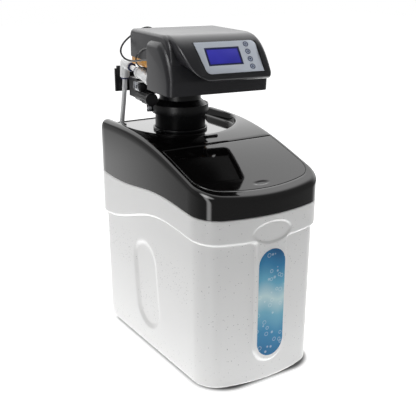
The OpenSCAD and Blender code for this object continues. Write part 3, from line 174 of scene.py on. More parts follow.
def bowed_front(half_w, front, r_bow, r_corner, shares, corner_steps, side_end, side_steps):
    """Left side, front and right side of a bowed outline, from rear to rear."""
    cx, cy, bow_y, swing = bow_corner(half_w, front, r_bow, r_corner)
    down = [((-half_w, y), (-1.0, 0.0)) for y in spread(side_end, cy, side_steps)]
    left = arc((-cx, cy), r_corner, spread(math.pi, 1.5 * math.pi - swing, corner_steps))
    bow = arc((0.0, bow_y), r_bow, [-math.pi / 2 + swing * a for a in shares])
    right = arc((cx, cy), r_corner, spread(-math.pi / 2 + swing, 0.0, corner_steps))
    up = [((half_w, y), (1.0, 0.0)) for y in spread(cy, side_end, side_steps)]
    return down + left + bow + right + up + [((half_w, side_end), (1.0, 0.0))]


def cabinet_rear(side_end, side_steps, corner_steps, shares):
    """The rest of the cabinet's outline, from the right side round the rear to the left side."""
    rx, ry = HALF_W - REAR_R, REAR_Y - REAR_R
    up = [((HALF_W, y), (1.0, 0.0)) for y in spread(side_end, ry, side_steps)][1:]
    right = arc((rx, ry), REAR_R, spread(0.0, math.pi / 2, corner_steps))
    back = [((-rx * s, REAR_Y), (0.0, 1.0)) for s in shares]
    left = arc((-rx, ry), REAR_R, spread(math.pi / 2, math.pi, corner_steps))
    down = [((-HALF_W, y), (-1.0, 0.0)) for y in spread(ry, side_end, side_steps)]
    return up + right + back + left + down


def grown(outline, g):
    """An outline's points, moved outwards."""
    return [(p[0] + n[0] * g, p[1] + n[1] * g) for p, n in outline]


def bow_shares(half_w, front, r_bow, r_corner, edge, fine, coarse):
    """Shares of the bow's swing, close together at an edge on either side of the middle."""
    swing = bow_corner(half_w, front, r_bow, r_corner)[3]
    reach = r_bow * math.sin(swing)
    xs = {0.0, *(edge + d for d in fine)}
    x = 0.0
    while x < reach:
        if all(abs(x - other) > coarse * BOW_APART for other in xs):
            xs.add(x)
        x += coarse
    half = sorted(x for x in xs if 0 <= x < reach * BOW_END)
    angles = [math.asin(x / r_bow) / swing for x in half]
    return [-1.0] + [-a for a in reversed(angles[1:])] + angles


# Mesh work

BEVEL_ANGLE, FLAT_ANGLE, MERGE_M = 35, 1.0, 2e-6


def deselect():
    if bpy.context.mode != "OBJECT":
        bpy.ops.object.mode_set(mode="OBJECT")
    bpy.ops.object.select_all(action="DESELECT")


def activate(piece):
    deselect()
    piece.select_set(True)
    bpy.context.view_layer.objects.active = piece


def in_edit(piece, *steps):
    """Runs edit-mode steps on the whole of a piece."""
    activate(piece)
    bpy.ops.object.mode_set(mode="EDIT")
    bpy.ops.mesh.select_all(action="SELECT")
    for step in steps:
        step()
    bpy.ops.object.mode_set(mode="OBJECT")


def merge():
    bpy.ops.mesh.remove_doubles(threshold=MERGE_M)


def face_outwards():
    bpy.ops.mesh.select_all(action="SELECT")
    bpy.ops.mesh.normals_make_consistent(inside=False)


def close_holes():
    bpy.ops.mesh.select_all(action="DESELECT")
    bpy.ops.mesh.select_mode(type="EDGE")
    bpy.ops.mesh.select_non_manifold(extend=False, use_wire=False, use_multi_face=False,
                                     use_non_contiguous=False, use_verts=False)
    bpy.ops.mesh.fill_holes(sides=0)
    bpy.ops.mesh.select_mode(type="VERT")


def named(name):
    """The object that an operator just added, under its name."""
    piece = bpy.context.object
    piece.name = piece.data.name = name
    return piece


def skin(name, rows, around=True):
    """A grid laid over rows of points in millimetres, closed round if asked."""
    deselect()
    rows = [[*row, row[0]] if around else row for row in rows]
    bpy.ops.mesh.primitive_grid_add(x_subdivisions=len(rows[0]) - 1, y_subdivisions=len(rows) - 1, size=1)
    piece = named(name)
    piece.data.vertices.foreach_set("co", [c * MM for row in rows for p in row for c in p])
    piece.data.update()
    in_edit(piece, merge)
    return piece


def turned(name, profile, place, sides=48, ring=False):
    """A shape turned round Z from (radius, height) steps; a ring joins its last step to its first."""
    deselect()
    r, z = profile[0]
    bpy.ops.mesh.primitive_circle_add(vertices=sides, radius=r * MM, fill_type="NOTHING" if ring else "NGON")
    piece = named(name)
    bpy.ops.object.mode_set(mode="EDIT")
    bpy.ops.mesh.select_all(action="SELECT")
    bpy.ops.transform.translate(value=(0, 0, z * MM))
    for r2, z2 in profile[1:] + profile[:1] * ring:
        bpy.ops.mesh.extrude_region_move(TRANSFORM_OT_translate={"value": (0, 0, (z2 - z) * MM)})
        bpy.ops.transform.resize(value=(r2 / r, r2 / r, 1), center_override=(0, 0, z2 * MM))
        r, z = r2, z2
    in_edit(piece, merge, face_outwards)
    piece.data.transform(place)
    piece.data.update()
    return piece


def prism(name, outline, depth, place):
    """An outline in millimetres, raised by a depth along Z."""
    deselect()
    bpy.ops.mesh.primitive_circle_add(vertices=len(outline), radius=1, fill_type="NGON")
    piece = named(name)
    piece.data.vertices.foreach_set("co", [c * MM for x, y in outline for c in (x, y, 0.0)])
    rise = {"value": (0, 0, depth * MM)}
    in_edit(piece, lambda: bpy.ops.mesh.extrude_region_move(TRANSFORM_OT_translate=rise), face_outwards)
    piece.data.transform(place)
    piece.data.update()
    return piece


def apply_modifier(piece, kind, **settings):
    activate(piece)
    modifier = piece.modifiers.new(kind.title(), kind)
    for key, value in settings.items():
        setattr(modifier, key, value)
    bpy.ops.object.modifier_apply(modifier=modifier.name)


def bevel(piece, width, segments=2):
    apply_modifier(piece, "BEVEL", width=width * MM, segments=segments, limit_method="ANGLE",
                   angle_limit=math.radians(BEVEL_ANGLE), use_clamp_overlap=True)


def cut(piece, tool, operation="DIFFERENCE"):
    apply_modifier(piece, "BOOLEAN", object=tool, operation=operation, solver="EXACT")
    bpy.data.objects.remove(tool)


def join(first, *others):
    activate(first)
    for other in others:
        other.select_set(True)
    bpy.ops.object.join()
    return first


def dressed(piece, slot, replaces=(), body="cabinet", angle=None):
    """Gives a finished piece its shading, material and body, and hides the solids that it stands for."""
    if angle:
        activate(piece)
        bpy.ops.object.shade_smooth_by_angle(angle=math.radians(angle))
    piece.data.materials.clear()
    piece.data.materials.append(finish(slot))
    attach(piece, body)
    if replaces:
        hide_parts(*replaces)


def softened(node, slot, width):
    """A copy of a solid with its edges rounded."""
    deselect()
    piece = bpy.data.objects.new(node + "_soft", NODES[node].data.copy())
    bpy.context.scene.collection.objects.link(piece)
    in_edit(piece, merge, lambda: bpy.ops.mesh.dissolve_limited(angle_limit=math.radians(FLAT_ANGLE)))
    bevel(piece, width)
    dressed(piece, slot, (node,), angle=40)


# Materials

FINISHES = {}
GROUPS = {}
FLOAT, COLOUR = "NodeSocketFloat", "NodeSocketColor"


class Net:
    """A shader tree under work. An input takes a number, a colour or another node's output."""

    def __init__(self, tree):
        self.tree = tree

    def feed(self, node, inputs):
        for key, value in inputs.items():
            if isinstance(value, bpy.types.NodeSocket):
                self.tree.links.new(value, node.inputs[key])
            else:
                node.inputs[key].default_value = value
        return node

    def add(self, kind, inputs=None, **settings):
        node = self.tree.nodes.new("ShaderNode" + kind)
        for key, value in settings.items():
            setattr(node, key, value)
        return self.feed(node, inputs or {})

    def math(self, operation, *values, clamped=False):
        return self.add("Math", dict(enumerate(values)), operation=operation, use_clamp=clamped).outputs[0]

    def plus(self, first, *others):
        for other in others:
            first = self.math("ADD", first, other)
        return first

    def times(self, first, *others):
        for other in others:
            first = self.math("MULTIPLY", first, other)
        return first

    def minus(self, a, b):
        return self.math("SUBTRACT", a, b)

    def ramp(self, value, low, high):
        """0 below a value and 1 above another."""
        inputs = {"Value": value, "From Min": low, "From Max": high}
        return self.add("MapRange", inputs, interpolation_type="SMOOTHSTEP").outputs["Result"]

    def blend(self, factor, a, b):
        """A mix of two colours."""
        node = self.add("Mix", data_type="RGBA")
        used = [i for i, socket in enumerate(node.inputs) if socket.enabled]
        self.feed(node, dict(zip(used, (factor, a, b))))
        return [socket for socket in node.outputs if socket.enabled][0]

    def place(self):
        return self.add("TexCoord").outputs["Object"]

    def axes(self, vector):
        return self.add("SeparateXYZ", {0: vector}).outputs

    def noise(self, size, detail=3.0, rough=0.5, vector=None):
        """Cloudy noise whose lumps have a size in millimetres."""
        inputs = {"Vector": vector or self.place(), "Scale": 1 / (size * MM)}
        return self.add("TexNoise", {**inputs, "Detail": detail, "Roughness": rough}).outputs["Fac"]

    def cells(self, scale):
        return self.add("TexVoronoi", {"Vector": self.place(), "Scale": scale}, feature="F1").outputs

    def bump(self, height, strength, depth_mm, **settings):
        inputs = {"Height": height, "Strength": strength, "Distance": depth_mm * MM}
        return self.add("Bump", inputs, **settings).outputs["Normal"]

    def effect(self, name, inputs):
        return self.add("Group", inputs, node_tree=GROUPS[name]).outputs


def shared_effect(name, inputs, outputs):
    """A new node group: its net, its inputs and the node that takes its outputs."""
    group = bpy.data.node_groups.new(name, "ShaderNodeTree")
    for label, kind, value in inputs:
        group.interface.new_socket(label, in_out="INPUT", socket_type=kind).default_value = value
    for label, kind in outputs:
        group.interface.new_socket(label, in_out="OUTPUT", socket_type=kind)
    GROUPS[name] = group
    return Net(group), group.nodes.new("NodeGroupInput").outputs, group.nodes.new("NodeGroupOutput")


CLOUD_MM, GRAIN_MM = 55.0, 1.1
# Reach of the least fleck and what others have more, in cells, and how sharply a fleck ends
FLECK_LEAST, FLECK_MORE, FLECK_EDGE = 0.14, 0.22, 14.0


def make_moulded_skin():
    """Colour mottle, sheen change and fine relief of moulded plastic."""
    net, given, made = shared_effect(
        "Moulded skin",
        (("Base", COLOUR, (0.8, 0.8, 0.8, 1)), ("Mottle", FLOAT, 0.04), ("Roughness", FLOAT, 0.4),
         ("Sheen change", FLOAT, 0.08)),
        (("Color", COLOUR), ("Roughness", FLOAT), ("Relief", FLOAT)))
    change = net.minus(net.noise(CLOUD_MM), 0.5)
    shade = net.plus(net.times(change, given["Mottle"]), 1.0)
    tint = net.add("VectorMath", {0: given["Base"], "Scale": shade}, operation="SCALE").outputs[0]
    rough = net.math("ADD", net.times(change, given["Sheen change"]), given["Roughness"], clamped=True)
    net.feed(made, {"Color": tint, "Roughness": rough, "Relief": net.noise(GRAIN_MM, 2.0, 0.6)})


def make_flecks():
    """Sparse specks of a second colour, from 0 to 1."""
    sizes = (("Size", FLOAT, 2.6), ("Share", FLOAT, 0.1))
    net, given, made = shared_effect("Flecks", sizes, (("Mask", FLOAT),))
    cells = net.cells(net.math("DIVIDE", 1 / MM, given["Size"]))
    pick = net.add("SeparateColor", {0: cells["Color"]}).outputs
    reach = net.plus(net.times(pick[1], FLECK_MORE), FLECK_LEAST)
    soft = net.math("MULTIPLY", net.minus(reach, cells["Distance"]), FLECK_EDGE, clamped=True)
    net.feed(made, {"Mask": net.times(soft, net.math("LESS_THAN", pick[0], given["Share"]))})


def linear(colour):
    """A screen colour, 0 to 255, as the shader takes it."""
    return tuple(c / 12.92 / 255 if c <= 10.3 else ((c / 255 + 0.055) / 1.055) ** 2.4 for c in colour)


def paint(*colour):
    return (*linear(colour), 1)


def moulded(net, colour, rough, mottle, change, relief, bump_mm=0.05):
    """Shader inputs of a moulded skin."""
    given = {"Base": (*colour, 1), "Mottle": mottle, "Roughness": rough, "Sheen change": change}
    made = net.effect("Moulded skin", given)
    return {"Base Color": made["Color"], "Roughness": made["Roughness"],
            "Normal": net.bump(made["Relief"], relief, bump_mm)}


def flecked(net, inputs, size, share, strength, colour):
    """Puts flecks on a moulded skin."""
    mask = net.effect("Flecks", {"Size": size, "Share": share})["Mask"]
    return {**inputs, "Base Color": net.blend(net.times(mask, strength), inputs["Base Color"], colour)}


PLAIN = {
    # slot: screen colour, roughness, mottle, sheen change, relief, coat, metal
    "gloss_black": ((10, 9, 9), 0.05, 0.1, 0.03, 0.0, 0.0, 0.0),
    "black_plastic": ((17, 17, 19), 0.34, 0.2, 0.12, 0.25, 0.0, 0.0),
    "charcoal_plastic": ((40, 40, 43), 0.3, 0.08, 0.1, 0.35, 0.0, 0.0),
    "panel_film": ((216, 223, 234), 0.32, 0.03, 0.06, 0.06, 0.15, 0.05),
    "key_plastic": ((170, 180, 198), 0.35, 0.04, 0.06, 0.06, 0.1, 0.1),
    "white_plastic": ((238, 239, 240), 0.32, 0.03, 0.08, 0.08, 0.1, 0.0),
    "navy_plastic": ((20, 27, 74), 0.34, 0.12, 0.1, 0.1, 0.0, 0.0),
    "amber_plastic": ((222, 158, 66), 0.38, 0.1, 0.1, 0.1, 0.0, 0.0),
    "seal_rubber": ((20, 20, 21), 0.62, 0.25, 0.15, 0.3, 0.0, 0.0),
    "disc_ceramic": ((226, 222, 212), 0.18, 0.05, 0.06, 0.02, 0.3, 0.0),
    "turbine_plastic": ((228, 230, 232), 0.3, 0.04, 0.08, 0.05, 0.1, 0.0),
}
# How strongly a slot mirrors where it isn't the usual half, and how much light passes into it
SHEEN = {"charcoal_plastic": 0.38, "black_plastic": 0.36}
TRANSLUCENT, GLOW_MM = {"white_plastic": 0.6}, 5.0
# Slots whose colour is a setting
CHOSEN = {"gloss_black": "cover_colour", "charcoal_plastic": "valve_cover_colour",
          "panel_film": "panel_colour"}


def plain_finish(net, slot):
    colour, rough, mottle, change, relief, coat, metal = PLAIN[slot]
    chosen = getattr(bpy.context.scene.softener, CHOSEN[slot]) if slot in CHOSEN else linear(colour)
    inputs = moulded(net, chosen, rough, mottle, change, relief)
    inputs.update({"Coat Weight": coat, "Coat Roughness": rough * 0.5, "Metallic": metal,
                   "Specular IOR Level": SHEEN.get(slot, 0.5)})
    if slot in TRANSLUCENT:
        inputs.update({"Subsurface Weight": TRANSLUCENT[slot], "Subsurface Radius": (1, 1, 1),
                       "Subsurface Scale": GLOW_MM * MM})
    return inputs


def cabinet_finish(net):
    """White rotationally moulded plastic with fine grey flecks."""
    settings = bpy.context.scene.softener
    inputs = moulded(net, settings.cabinet_colour, 0.36, 0.025, 0.1, 0.1, 0.06)
    return flecked(net, inputs, settings.fleck_size / MM, 0.1, 0.7, paint(120, 122, 124))


def board_finish(net):
    """Green circuit board with copper specks."""
    inputs = moulded(net, linear((24, 84, 46)), 0.4, 0.3, 0.1, 0.1)
    return flecked(net, inputs, 3.0, 0.3, 1.0, paint(196, 160, 92))


# Shades of the label from its foot to its top
LABEL_SHADES = (
    (0.0, (36, 110, 160)), (0.22, (64, 142, 186)), (0.40, (120, 184, 208)), (0.55, (200, 228, 232)),
    (0.70, (104, 176, 206)), (0.86, (44, 128, 176)), (1.0, (16, 90, 140)))
SWAY_PACE, SWAY_REACH = 95.0, 0.035
BUBBLE_SCALE, BUBBLE_R, BUBBLE_LINE, BUBBLE_LIGHT = 70.0, 0.24, (0.015, 0.06), 0.35


def label_finish(net):
    """A printed film: deep blue to pale aqua with swaying bands and rising bubbles."""
    axes = net.axes(net.place())
    height = net.math("DIVIDE", net.minus(axes["Z"], LABEL_LOW * MM), (LABEL_HIGH - LABEL_LOW) * MM)
    sway = net.times(net.math("SINE", net.times(axes["X"], SWAY_PACE)), SWAY_REACH)
    shades = net.add("ValToRGB", {0: net.plus(height, sway)})
    marks = shades.color_ramp.elements
    for at, _ in LABEL_SHADES[1:-1]:
        marks.new(at)
    for mark, (at, colour) in zip(marks, LABEL_SHADES):
        mark.position = at
        mark.color = paint(*colour)
    ring = net.math("ABSOLUTE", net.minus(net.cells(BUBBLE_SCALE)["Distance"], BUBBLE_R))
    line = net.times(net.minus(1.0, net.ramp(ring, *BUBBLE_LINE)), BUBBLE_LIGHT)
    colour = net.blend(line, shades.outputs[0], (0.9, 0.97, 1, 1))
    return {"Base Color": colour, "Roughness": 0.22, "Coat Weight": 0.4, "Coat Roughness": 0.1}


def screen_finish(net):
    """A backlit blue screen, a little cloudy."""
    colour = net.blend(net.noise(30.0, 1.0), paint(38, 38, 128), paint(54, 52, 160))
    return {"Base Color": colour, "Emission Color": colour, "Emission Strength": 0.5, "Roughness": 0.45,
            "Specular IOR Level": 0.25}


def steel_finish(net):
    """Plated steel with fine streaks."""
    stretch = net.add("Mapping", {"Vector": net.place(), "Scale": (1.0, 1.0, 14.0)})
    streaks = net.noise(3.0, 4.0, 0.7, stretch.outputs[0])
    return {"Base Color": net.blend(streaks, paint(150, 152, 156), paint(200, 202, 205)),
            "Roughness": net.plus(net.times(streaks, 0.25), 0.2), "Metallic": 1.0}


def vessel_finish(net):
    """Blue-grey vessel shell with crossed windings of glass fibre."""
    bands = []
    for turn in (0.9, -0.9):
        lay = net.add("Mapping", {"Vector": net.place(), "Rotation": (turn, 0.0, 0.0)}).outputs[0]
        winding = net.add("TexWave", {"Vector": lay, "Scale": 120.0, "Distortion": 1.5}, bands_direction="Z")
        bands.append(winding.outputs["Fac"])
    weave = net.times(*bands)
    return {"Base Color": net.blend(weave, paint(150, 166, 176), paint(186, 198, 204)), "Roughness": 0.42,
            "Normal": net.bump(weave, 0.2, 0.4)}


def resin_finish(net):
    """Amber beads of ion-exchange resin."""
    beads = net.cells(650.0)["Distance"]
    return {"Base Color": net.blend(beads, paint(190, 112, 40), paint(92, 44, 12)), "Roughness": 0.3,
            "Normal": net.bump(beads, 1.0, 0.5, invert=True)}


def finish(slot):
    """The material of a slot, made when first asked for."""
    if not GROUPS:
        make_moulded_skin()
        make_flecks()
    if slot not in FINISHES:
        FINISHES[slot] = material = bpy.data.materials.new(slot)
        material.use_nodes = True
        net = Net(material.node_tree)
        inputs = SPECIAL[slot](net) if slot in SPECIAL else plain_finish(net, slot)
        net.feed(net.tree.nodes["Principled BSDF"], inputs)
    return FINISHES[slot]


# Cabinet

BASE_R, RIM_R, DRAFT, DRAFT_Z, INNER_EDGE = 3.0, 2.5, 3.5, 240.0, 1.0
EDGE_RUN, EDGE_LEAD, EDGE_POWER, PAD_BLEND = 7.2, 1.2, 2.5, 8.0
PAD_CENTRE_Z = PAD_BOTTOM + PAD_HALF_W
# Where rows and columns stand close together, from the band's and the pad's edge
BAND_STEPS = (-16, -11, -7, -4, -2.2, -1.2, -0.6, 0, 0.6, 1.3, 2.2, 3.2, 4.4, 6)
PAD_STEPS = (-8, -6.4, -5, -3.8, -2.8, -2, -1.3, -0.6, 0, 0.6, 1.2, 2.4, 4)
PAD_COARSE, FINE_LOW, FINE_HIGH, SIDE_SPLIT = 1.6, 32, 74, -60.0
HOLLOW_DEPTH, HOLLOW_RUN = 4.0, 12.0
BADGE_DEPTH, BADGE_RUN = 2.4, 2.6


def soft_max(a, b, k):
    return max(a, b) + max(k - abs(a - b), 0.0) ** 2 / (4 * k)


def raised(distance):
    """Share of the full height at a distance inside the edge of a raised field."""
    return 1 - (1 - clamp((distance + EDGE_LEAD) / EDGE_RUN)) ** EDGE_POWER


def to_segment(p, a, b):
    """Distance from a point to a straight line's nearest point."""
    run, away = Vector(b) - Vector(a), Vector(p) - Vector(a)
    return (away - run * clamp(away.dot(run) / run.length_squared)).length


def in_oval(p, centre, half):
    """How deep a point lies inside an oval."""
    return (1 - math.hypot((p[0] - centre[0]) / half[0], (p[1] - centre[1]) / half[1])) * half[1]


def wall_relief(x, y, z, normal):
    """How far the cabinet's wall stands out of its outline."""
    distance = z - wave(y, BAND_KNOTS)
    dent = side_hollow(y, z, normal) + draft(z, normal)
    if normal[1] < -0.5 and abs(x) < 2 * PAD_HALF_W:
        to_pad = math.hypot(x, min(0.0, z - PAD_CENTRE_Z))
        distance = soft_max(distance, PAD_HALF_W - to_pad, PAD_BLEND)
        dent += BADGE_DEPTH * smooth_step(in_oval((x, z), BADGE_AT, BADGE_HALF) / BADGE_RUN + 0.5)
    return PROUD * raised(distance) - dent


def draft(z, normal):
    """How far the sides lean in towards the base."""
    return DRAFT * max(0.0, 1 - z / DRAFT_Z) * normal[0] ** 2


def side_hollow(y, z, normal):
    """Depth of the long hollow in each side."""
    if abs(normal[0]) < 0.99:
        return 0.0
    inside = HOLLOW_R - to_segment((y, z), *HOLLOW_ENDS)
    return HOLLOW_DEPTH * smooth_step(inside / HOLLOW_RUN + 0.25)


def cabinet_outline():
    shares = bow_shares(*FRONT_SHAPE, PAD_HALF_W, PAD_STEPS, PAD_COARSE)
    front = bowed_front(*FRONT_SHAPE, shares, 22, SIDE_SPLIT, 26)
    return front + cabinet_rear(SIDE_SPLIT, 80, 16, spread(-1, 1, 14))[:-1]


def outer_levels(band, rim):
    """Heights of the rows on the outside of the wall, close together where it changes."""
    low = spread(BASE_R, FINE_LOW, 5) + spread(FINE_LOW, FINE_HIGH, 30)
    low += spread(FINE_HIGH, band + BAND_STEPS[0], 40)
    return low + [band + step for step in BAND_STEPS] + spread(band + BAND_STEPS[-1], rim - RIM_R, 24)[1:]


def build_cabinet():
    columns = []
    for (x, y), normal in cabinet_outline():
        rim = wave(y, RIM_KNOTS)
        outside = outer_levels(wave(y, BAND_KNOTS), rim)[1:]
        inside = spread(rim - INNER_EDGE, FLOOR, 24)[1:] + [FLOOR]
        places = [(-BASE_R * b - draft(BASE_R * a, normal), BASE_R * a) for a, b in round_over(6)]
        places += [(wall_relief(x, y, z, normal), z) for z in outside]
        places += [(PROUD - RIM_R * a, rim - RIM_R * b) for a, b in round_over(4)]
        places += [(-WALL + INNER_EDGE, rim), (-WALL, rim - INNER_EDGE)]
        places += [(-WALL - side_hollow(y, z, normal) - draft(z, normal), z) for z in inside]
        columns.append([(x + normal[0] * g, y + normal[1] * g, z) for g, z in places])
    piece = skin("cabinet_shell", list(zip(*columns)))
    in_edit(piece, close_holes, face_outwards)
    dressed(piece, "cabinet_plastic", ("cabinet",), angle=50)


# Front label

LABEL_HALF_W, LABEL_LOW, LABEL_HIGH, LABEL_T = 28.0, 49.0, 252.0, 0.4


def turn_faces(piece, direction):
    """Turns a sheet over where its faces look away from a direction."""
    total = sum((p.normal * p.area for p in piece.data.polygons), Vector())
    if total.dot(Vector(direction)) < 0:
        in_edit(piece, bpy.ops.mesh.flip_normals)


def build_label():
    radius, bow_y = BOW_R + PROUD + LABEL_T, FRONT_Y + BOW_R
    rows = []
    for i in range(65):
        z = swell(i / 64, (0, LABEL_LOW), (1, LABEL_HIGH))
        short = max(0.0, LABEL_HALF_W - min(z - LABEL_LOW, LABEL_HIGH - z))
        half = math.sqrt(max(0.0004, LABEL_HALF_W ** 2 - short ** 2))
        xs = [half * s for s in [-1] + spread(-0.99, 0.99, 20) + [0.99, 1]]
        rows.append([(x, bow_y - math.sqrt(radius ** 2 - x * x), z) for x in xs])
    piece = skin("label_film", rows, False)
    in_edit(piece, face_outwards)
    turn_faces(piece, (0, -1, 0))
    apply_modifier(piece, "SOLIDIFY", thickness=LABEL_T * 0.8 * MM, offset=-1.0)
    dressed(piece, "label_print", ("front_label",), angle=40)


# Top cover

COVER_R, SEAM_R, SEAM_DEPTH, LEDGE = 9.0, 0.8, 3.8, 6.0
BASIN_TOP_R, BASIN_LOW_R, BASIN_DRAFT = 4.2, 3.5, 1.2
COVER_WALL, SKIRT_GAP, SKIRT_LIP = 2.6, 0.3, 0.6
BEAD_ROOM, BEAD_FROM, BEAD_RUN = 3.4, -62.0, 14.0
COVER_SPLIT = SALT_REAR + SEAM_R
COVER_SHARES = spread(-1, 1, 30)
LINE_STEPS = 60


def salt_loop(g, rear, shares, side_steps):
    """The salt opening's outline, moved outwards, with its straight rear edge last."""
    half = SALT_HALF_W + g
    sides = bowed_front(*SALT_SHAPE, shares, 18, rear, side_steps)
    return grown(sides, g) + [(x, rear) for x in spread(half, -half, LINE_STEPS)][1:]


def opening_loop(g):
    return salt_loop(g, SALT_REAR + g, COVER_SHARES, 24)


def basin_distance(p):
    """Below 0 inside the basin's outline, above 0 outside."""
    x, y = abs(p[0]), p[1] - NECK.y
    if y < 0:
        r = math.hypot(x / BASIN_HALF_W, y / BASIN_FRONT)
        return (r - 1) * BASIN_FRONT
    dx = x - (BASIN_HALF_W - BASIN_R)
    dy = y - (BASIN_REAR - NECK.y - BASIN_R)
    return math.hypot(max(dx, 0), max(dy, 0)) + min(max(dx, dy), 0) - BASIN_R


def basin_edge(p):
    """Point of the basin's outline towards a point, and the outward direction there."""
    way = (Vector(p) - NECK).normalized()
    low, high = 0.0, 200.0
    for _ in range(40):
        middle = (low + high) / 2
        low, high = (middle, high) if basin_distance(NECK + way * middle) < 0 else (low, middle)
    at = NECK + way * low
    step = 0.05
    slope = Vector((basin_distance((at.x + step, at.y)) - basin_distance((at.x - step, at.y)),
                    basin_distance((at.x, at.y + step)) - basin_distance((at.x, at.y - step))))
    return at, slope.normalized(), way


def on_crown(points, fall=0.0):
    return [(x, y, crown(y) - fall) for x, y in points]


def skirt_rows(outline):
    """Rows up the cover's sides and over its rounded edge."""
    feet = [wave(p[1], RIM_KNOTS) + SKIRT_GAP for p, _ in outline]
    rows = [[(*p, foot) for p, foot in zip(grown(outline, PROUD - SKIRT_LIP), feet)]]
    walls = list(zip(grown(outline, PROUD), feet))
    for share in spread(0, 1, 9):
        rows.append([(*p, lerp(foot + SKIRT_LIP, crown(p[1]) - COVER_R, share)) for p, foot in walls])
    return rows + [on_crown(grown(outline, PROUD - COVER_R * a), COVER_R * b) for a, b in round_over(8)]


def seam_rows():
    """Rows from the roof down into the seam round the lid and over the ledge under it."""
    profile = ((SEAM_R, 0.0), (SEAM_R * 0.3, SEAM_R * 0.3), (0.0, SEAM_R), (0.0, SEAM_DEPTH),
               (-LEDGE, SEAM_DEPTH))
    rows = []
    for g, fall in profile:
        extra = BEAD_ROOM if fall > SEAM_R else 0.0
        rows.append([(x, y, crown(y) - fall - extra * smooth_step((y - BEAD_FROM) / BEAD_RUN))
                     for x, y in opening_loop(g)])
    return rows


def build_cover():
    front = bowed_front(*FRONT_SHAPE, COVER_SHARES, 18, COVER_SPLIT, 24)
    rear = cabinet_rear(COVER_SPLIT, 50, 16, spread(-1, 1, 16))
    rows = skirt_rows(front + rear)
    skirt = skin("cover_shell", rows)
    top = [p[:2] for p in rows[-1]]
    shoulder = top[:len(front)]
    opening = opening_loop(SEAM_R)[:len(front)]
    pairs = list(zip(shoulder, opening))
    strip = [[tuple(Vector(p).lerp(Vector(q), k / 4)) for p, q in pairs] for k in range(5)]
    ring = skin("cover_ring", [on_crown(row) for row in strip], False)
    left_end = [row[0] for row in strip]
    right_end = [row[-1] for row in strip]
    line = [(x, COVER_SPLIT) for x in spread(opening[0][0], opening[-1][0], LINE_STEPS)]
    loop = top[len(front):] + left_end[:-1] + line + right_end[:0:-1] + [shoulder[-1]]
    back = skin("cover_back", basin_rows(loop))
    seam = skin("cover_seam", seam_rows())
    piece = join(skirt, ring, back, seam)
    in_edit(piece, merge, face_outwards)
    turn_faces(piece, (0, 0, 1))
    apply_modifier(piece, "SOLIDIFY", thickness=COVER_WALL * MM, offset=-1.0, use_even_offset=True)
    dressed(piece, "gloss_black", ("top_cover",), angle=38)


def basin_rows(loop):
    """Rows from the cover's roof over the basin's edge and down to the hole for the neck."""
    columns = []
    for p in loop:
        at, out, way = basin_edge(p)
        deep = crown(at.y) - DECK_Z
        top_r = min(BASIN_TOP_R, deep * 0.5, max(0.5, (Vector(p) - at).length - 0.4))
        low_r = min(BASIN_LOW_R, deep * 0.4)
        column = on_crown([Vector(p).lerp(at + out * top_r, k / 6) for k in range(7)])
        for a, b in round_over(5)[1:]:
            q = at + out * top_r * b
            column.append((q.x, q.y, crown(q.y) - top_r * a))
        for a, b in round_over(5):
            q = at - out * (BASIN_DRAFT + low_r * a)
            column.append((q.x, q.y, DECK_Z + low_r * b))
        last = Vector(column[-1][:2])
        hole = NECK + way * NECK_HOLE_R
        column += [(*last.lerp(hole, k / 6), DECK_Z) for k in range(1, 7)]
        columns.append(column)
    return list(zip(*columns))


# Salt lid

LID_GAP, LID_T, LID_EDGE_R, PIN_R, PIN_LEN = 0.5, 3.5, 0.8, 1.5, 4.0
PIN_EDGE, PIN_ROOT, PIN_SIDES = 0.4, 1.0, 24
LID_SHARES = spread(-1, 1, 60)
LID_BORDER, LID_CENTRE = 26.0, Vector((0.0, -110.0))
NOTCH_DEPTH, NOTCH_RUN = 1.3, 3.5
# Where the lid grows to the bead's thickness
THICK_FROM, THICK_RUN = -52.0, 8.0


def lid_loop(g):
    """The lid's outline set in by a distance."""
    return salt_loop(-LID_GAP - g, HINGE_Y - g, LID_SHARES, 20)


def lid_top(x, y):
    """Height of the lid's top, with the finger hollow near its front."""
    return crown(y) - NOTCH_DEPTH * smooth_step(in_oval((x, y), NOTCH_AT, NOTCH_HALF) / NOTCH_RUN + 0.3)


def lid_under(x, y):
    """Height of the lid's underside."""
    return crown(y) - LID_T - (BEAD_R * 2 - LID_T) * smooth_step((y - THICK_FROM) / THICK_RUN)


def lid_field(height):
    """Rows from the lid's edge to its middle."""
    loops = [lid_loop(g) for g in spread(LID_EDGE_R, LID_BORDER, 22)]
    core = lid_loop(LID_BORDER)
    loops += [[tuple(Vector(p).lerp(LID_CENTRE, k / 14)) for p in core] for k in range(15)]
    return [[(x, y, height(x, y)) for x, y in loop] for loop in loops]


def lid_edge():
    """Rows round the lid's edge, which is a full bead along the hinge."""
    rear_from = len(lid_loop(0.0)) - LINE_STEPS
    rows = []
    for i in range(1, 12):
        turn = math.pi / 2 - math.pi * i / 12
        loop = lid_loop(LID_EDGE_R * (1 - math.cos(turn)))
        fall = LID_EDGE_R - LID_EDGE_R * math.sin(turn)
        row = on_crown(loop, fall if turn >= 0 else LID_T - 2 * LID_EDGE_R + fall)
        bead = (HINGE_Y + BEAD_R * math.cos(turn), HINGE_Z + BEAD_R * math.sin(turn))
        for index in [0] + list(range(rear_from, len(loop))):
            row[index] = (row[index][0], *bead)
        rows.append(row)
    return rows


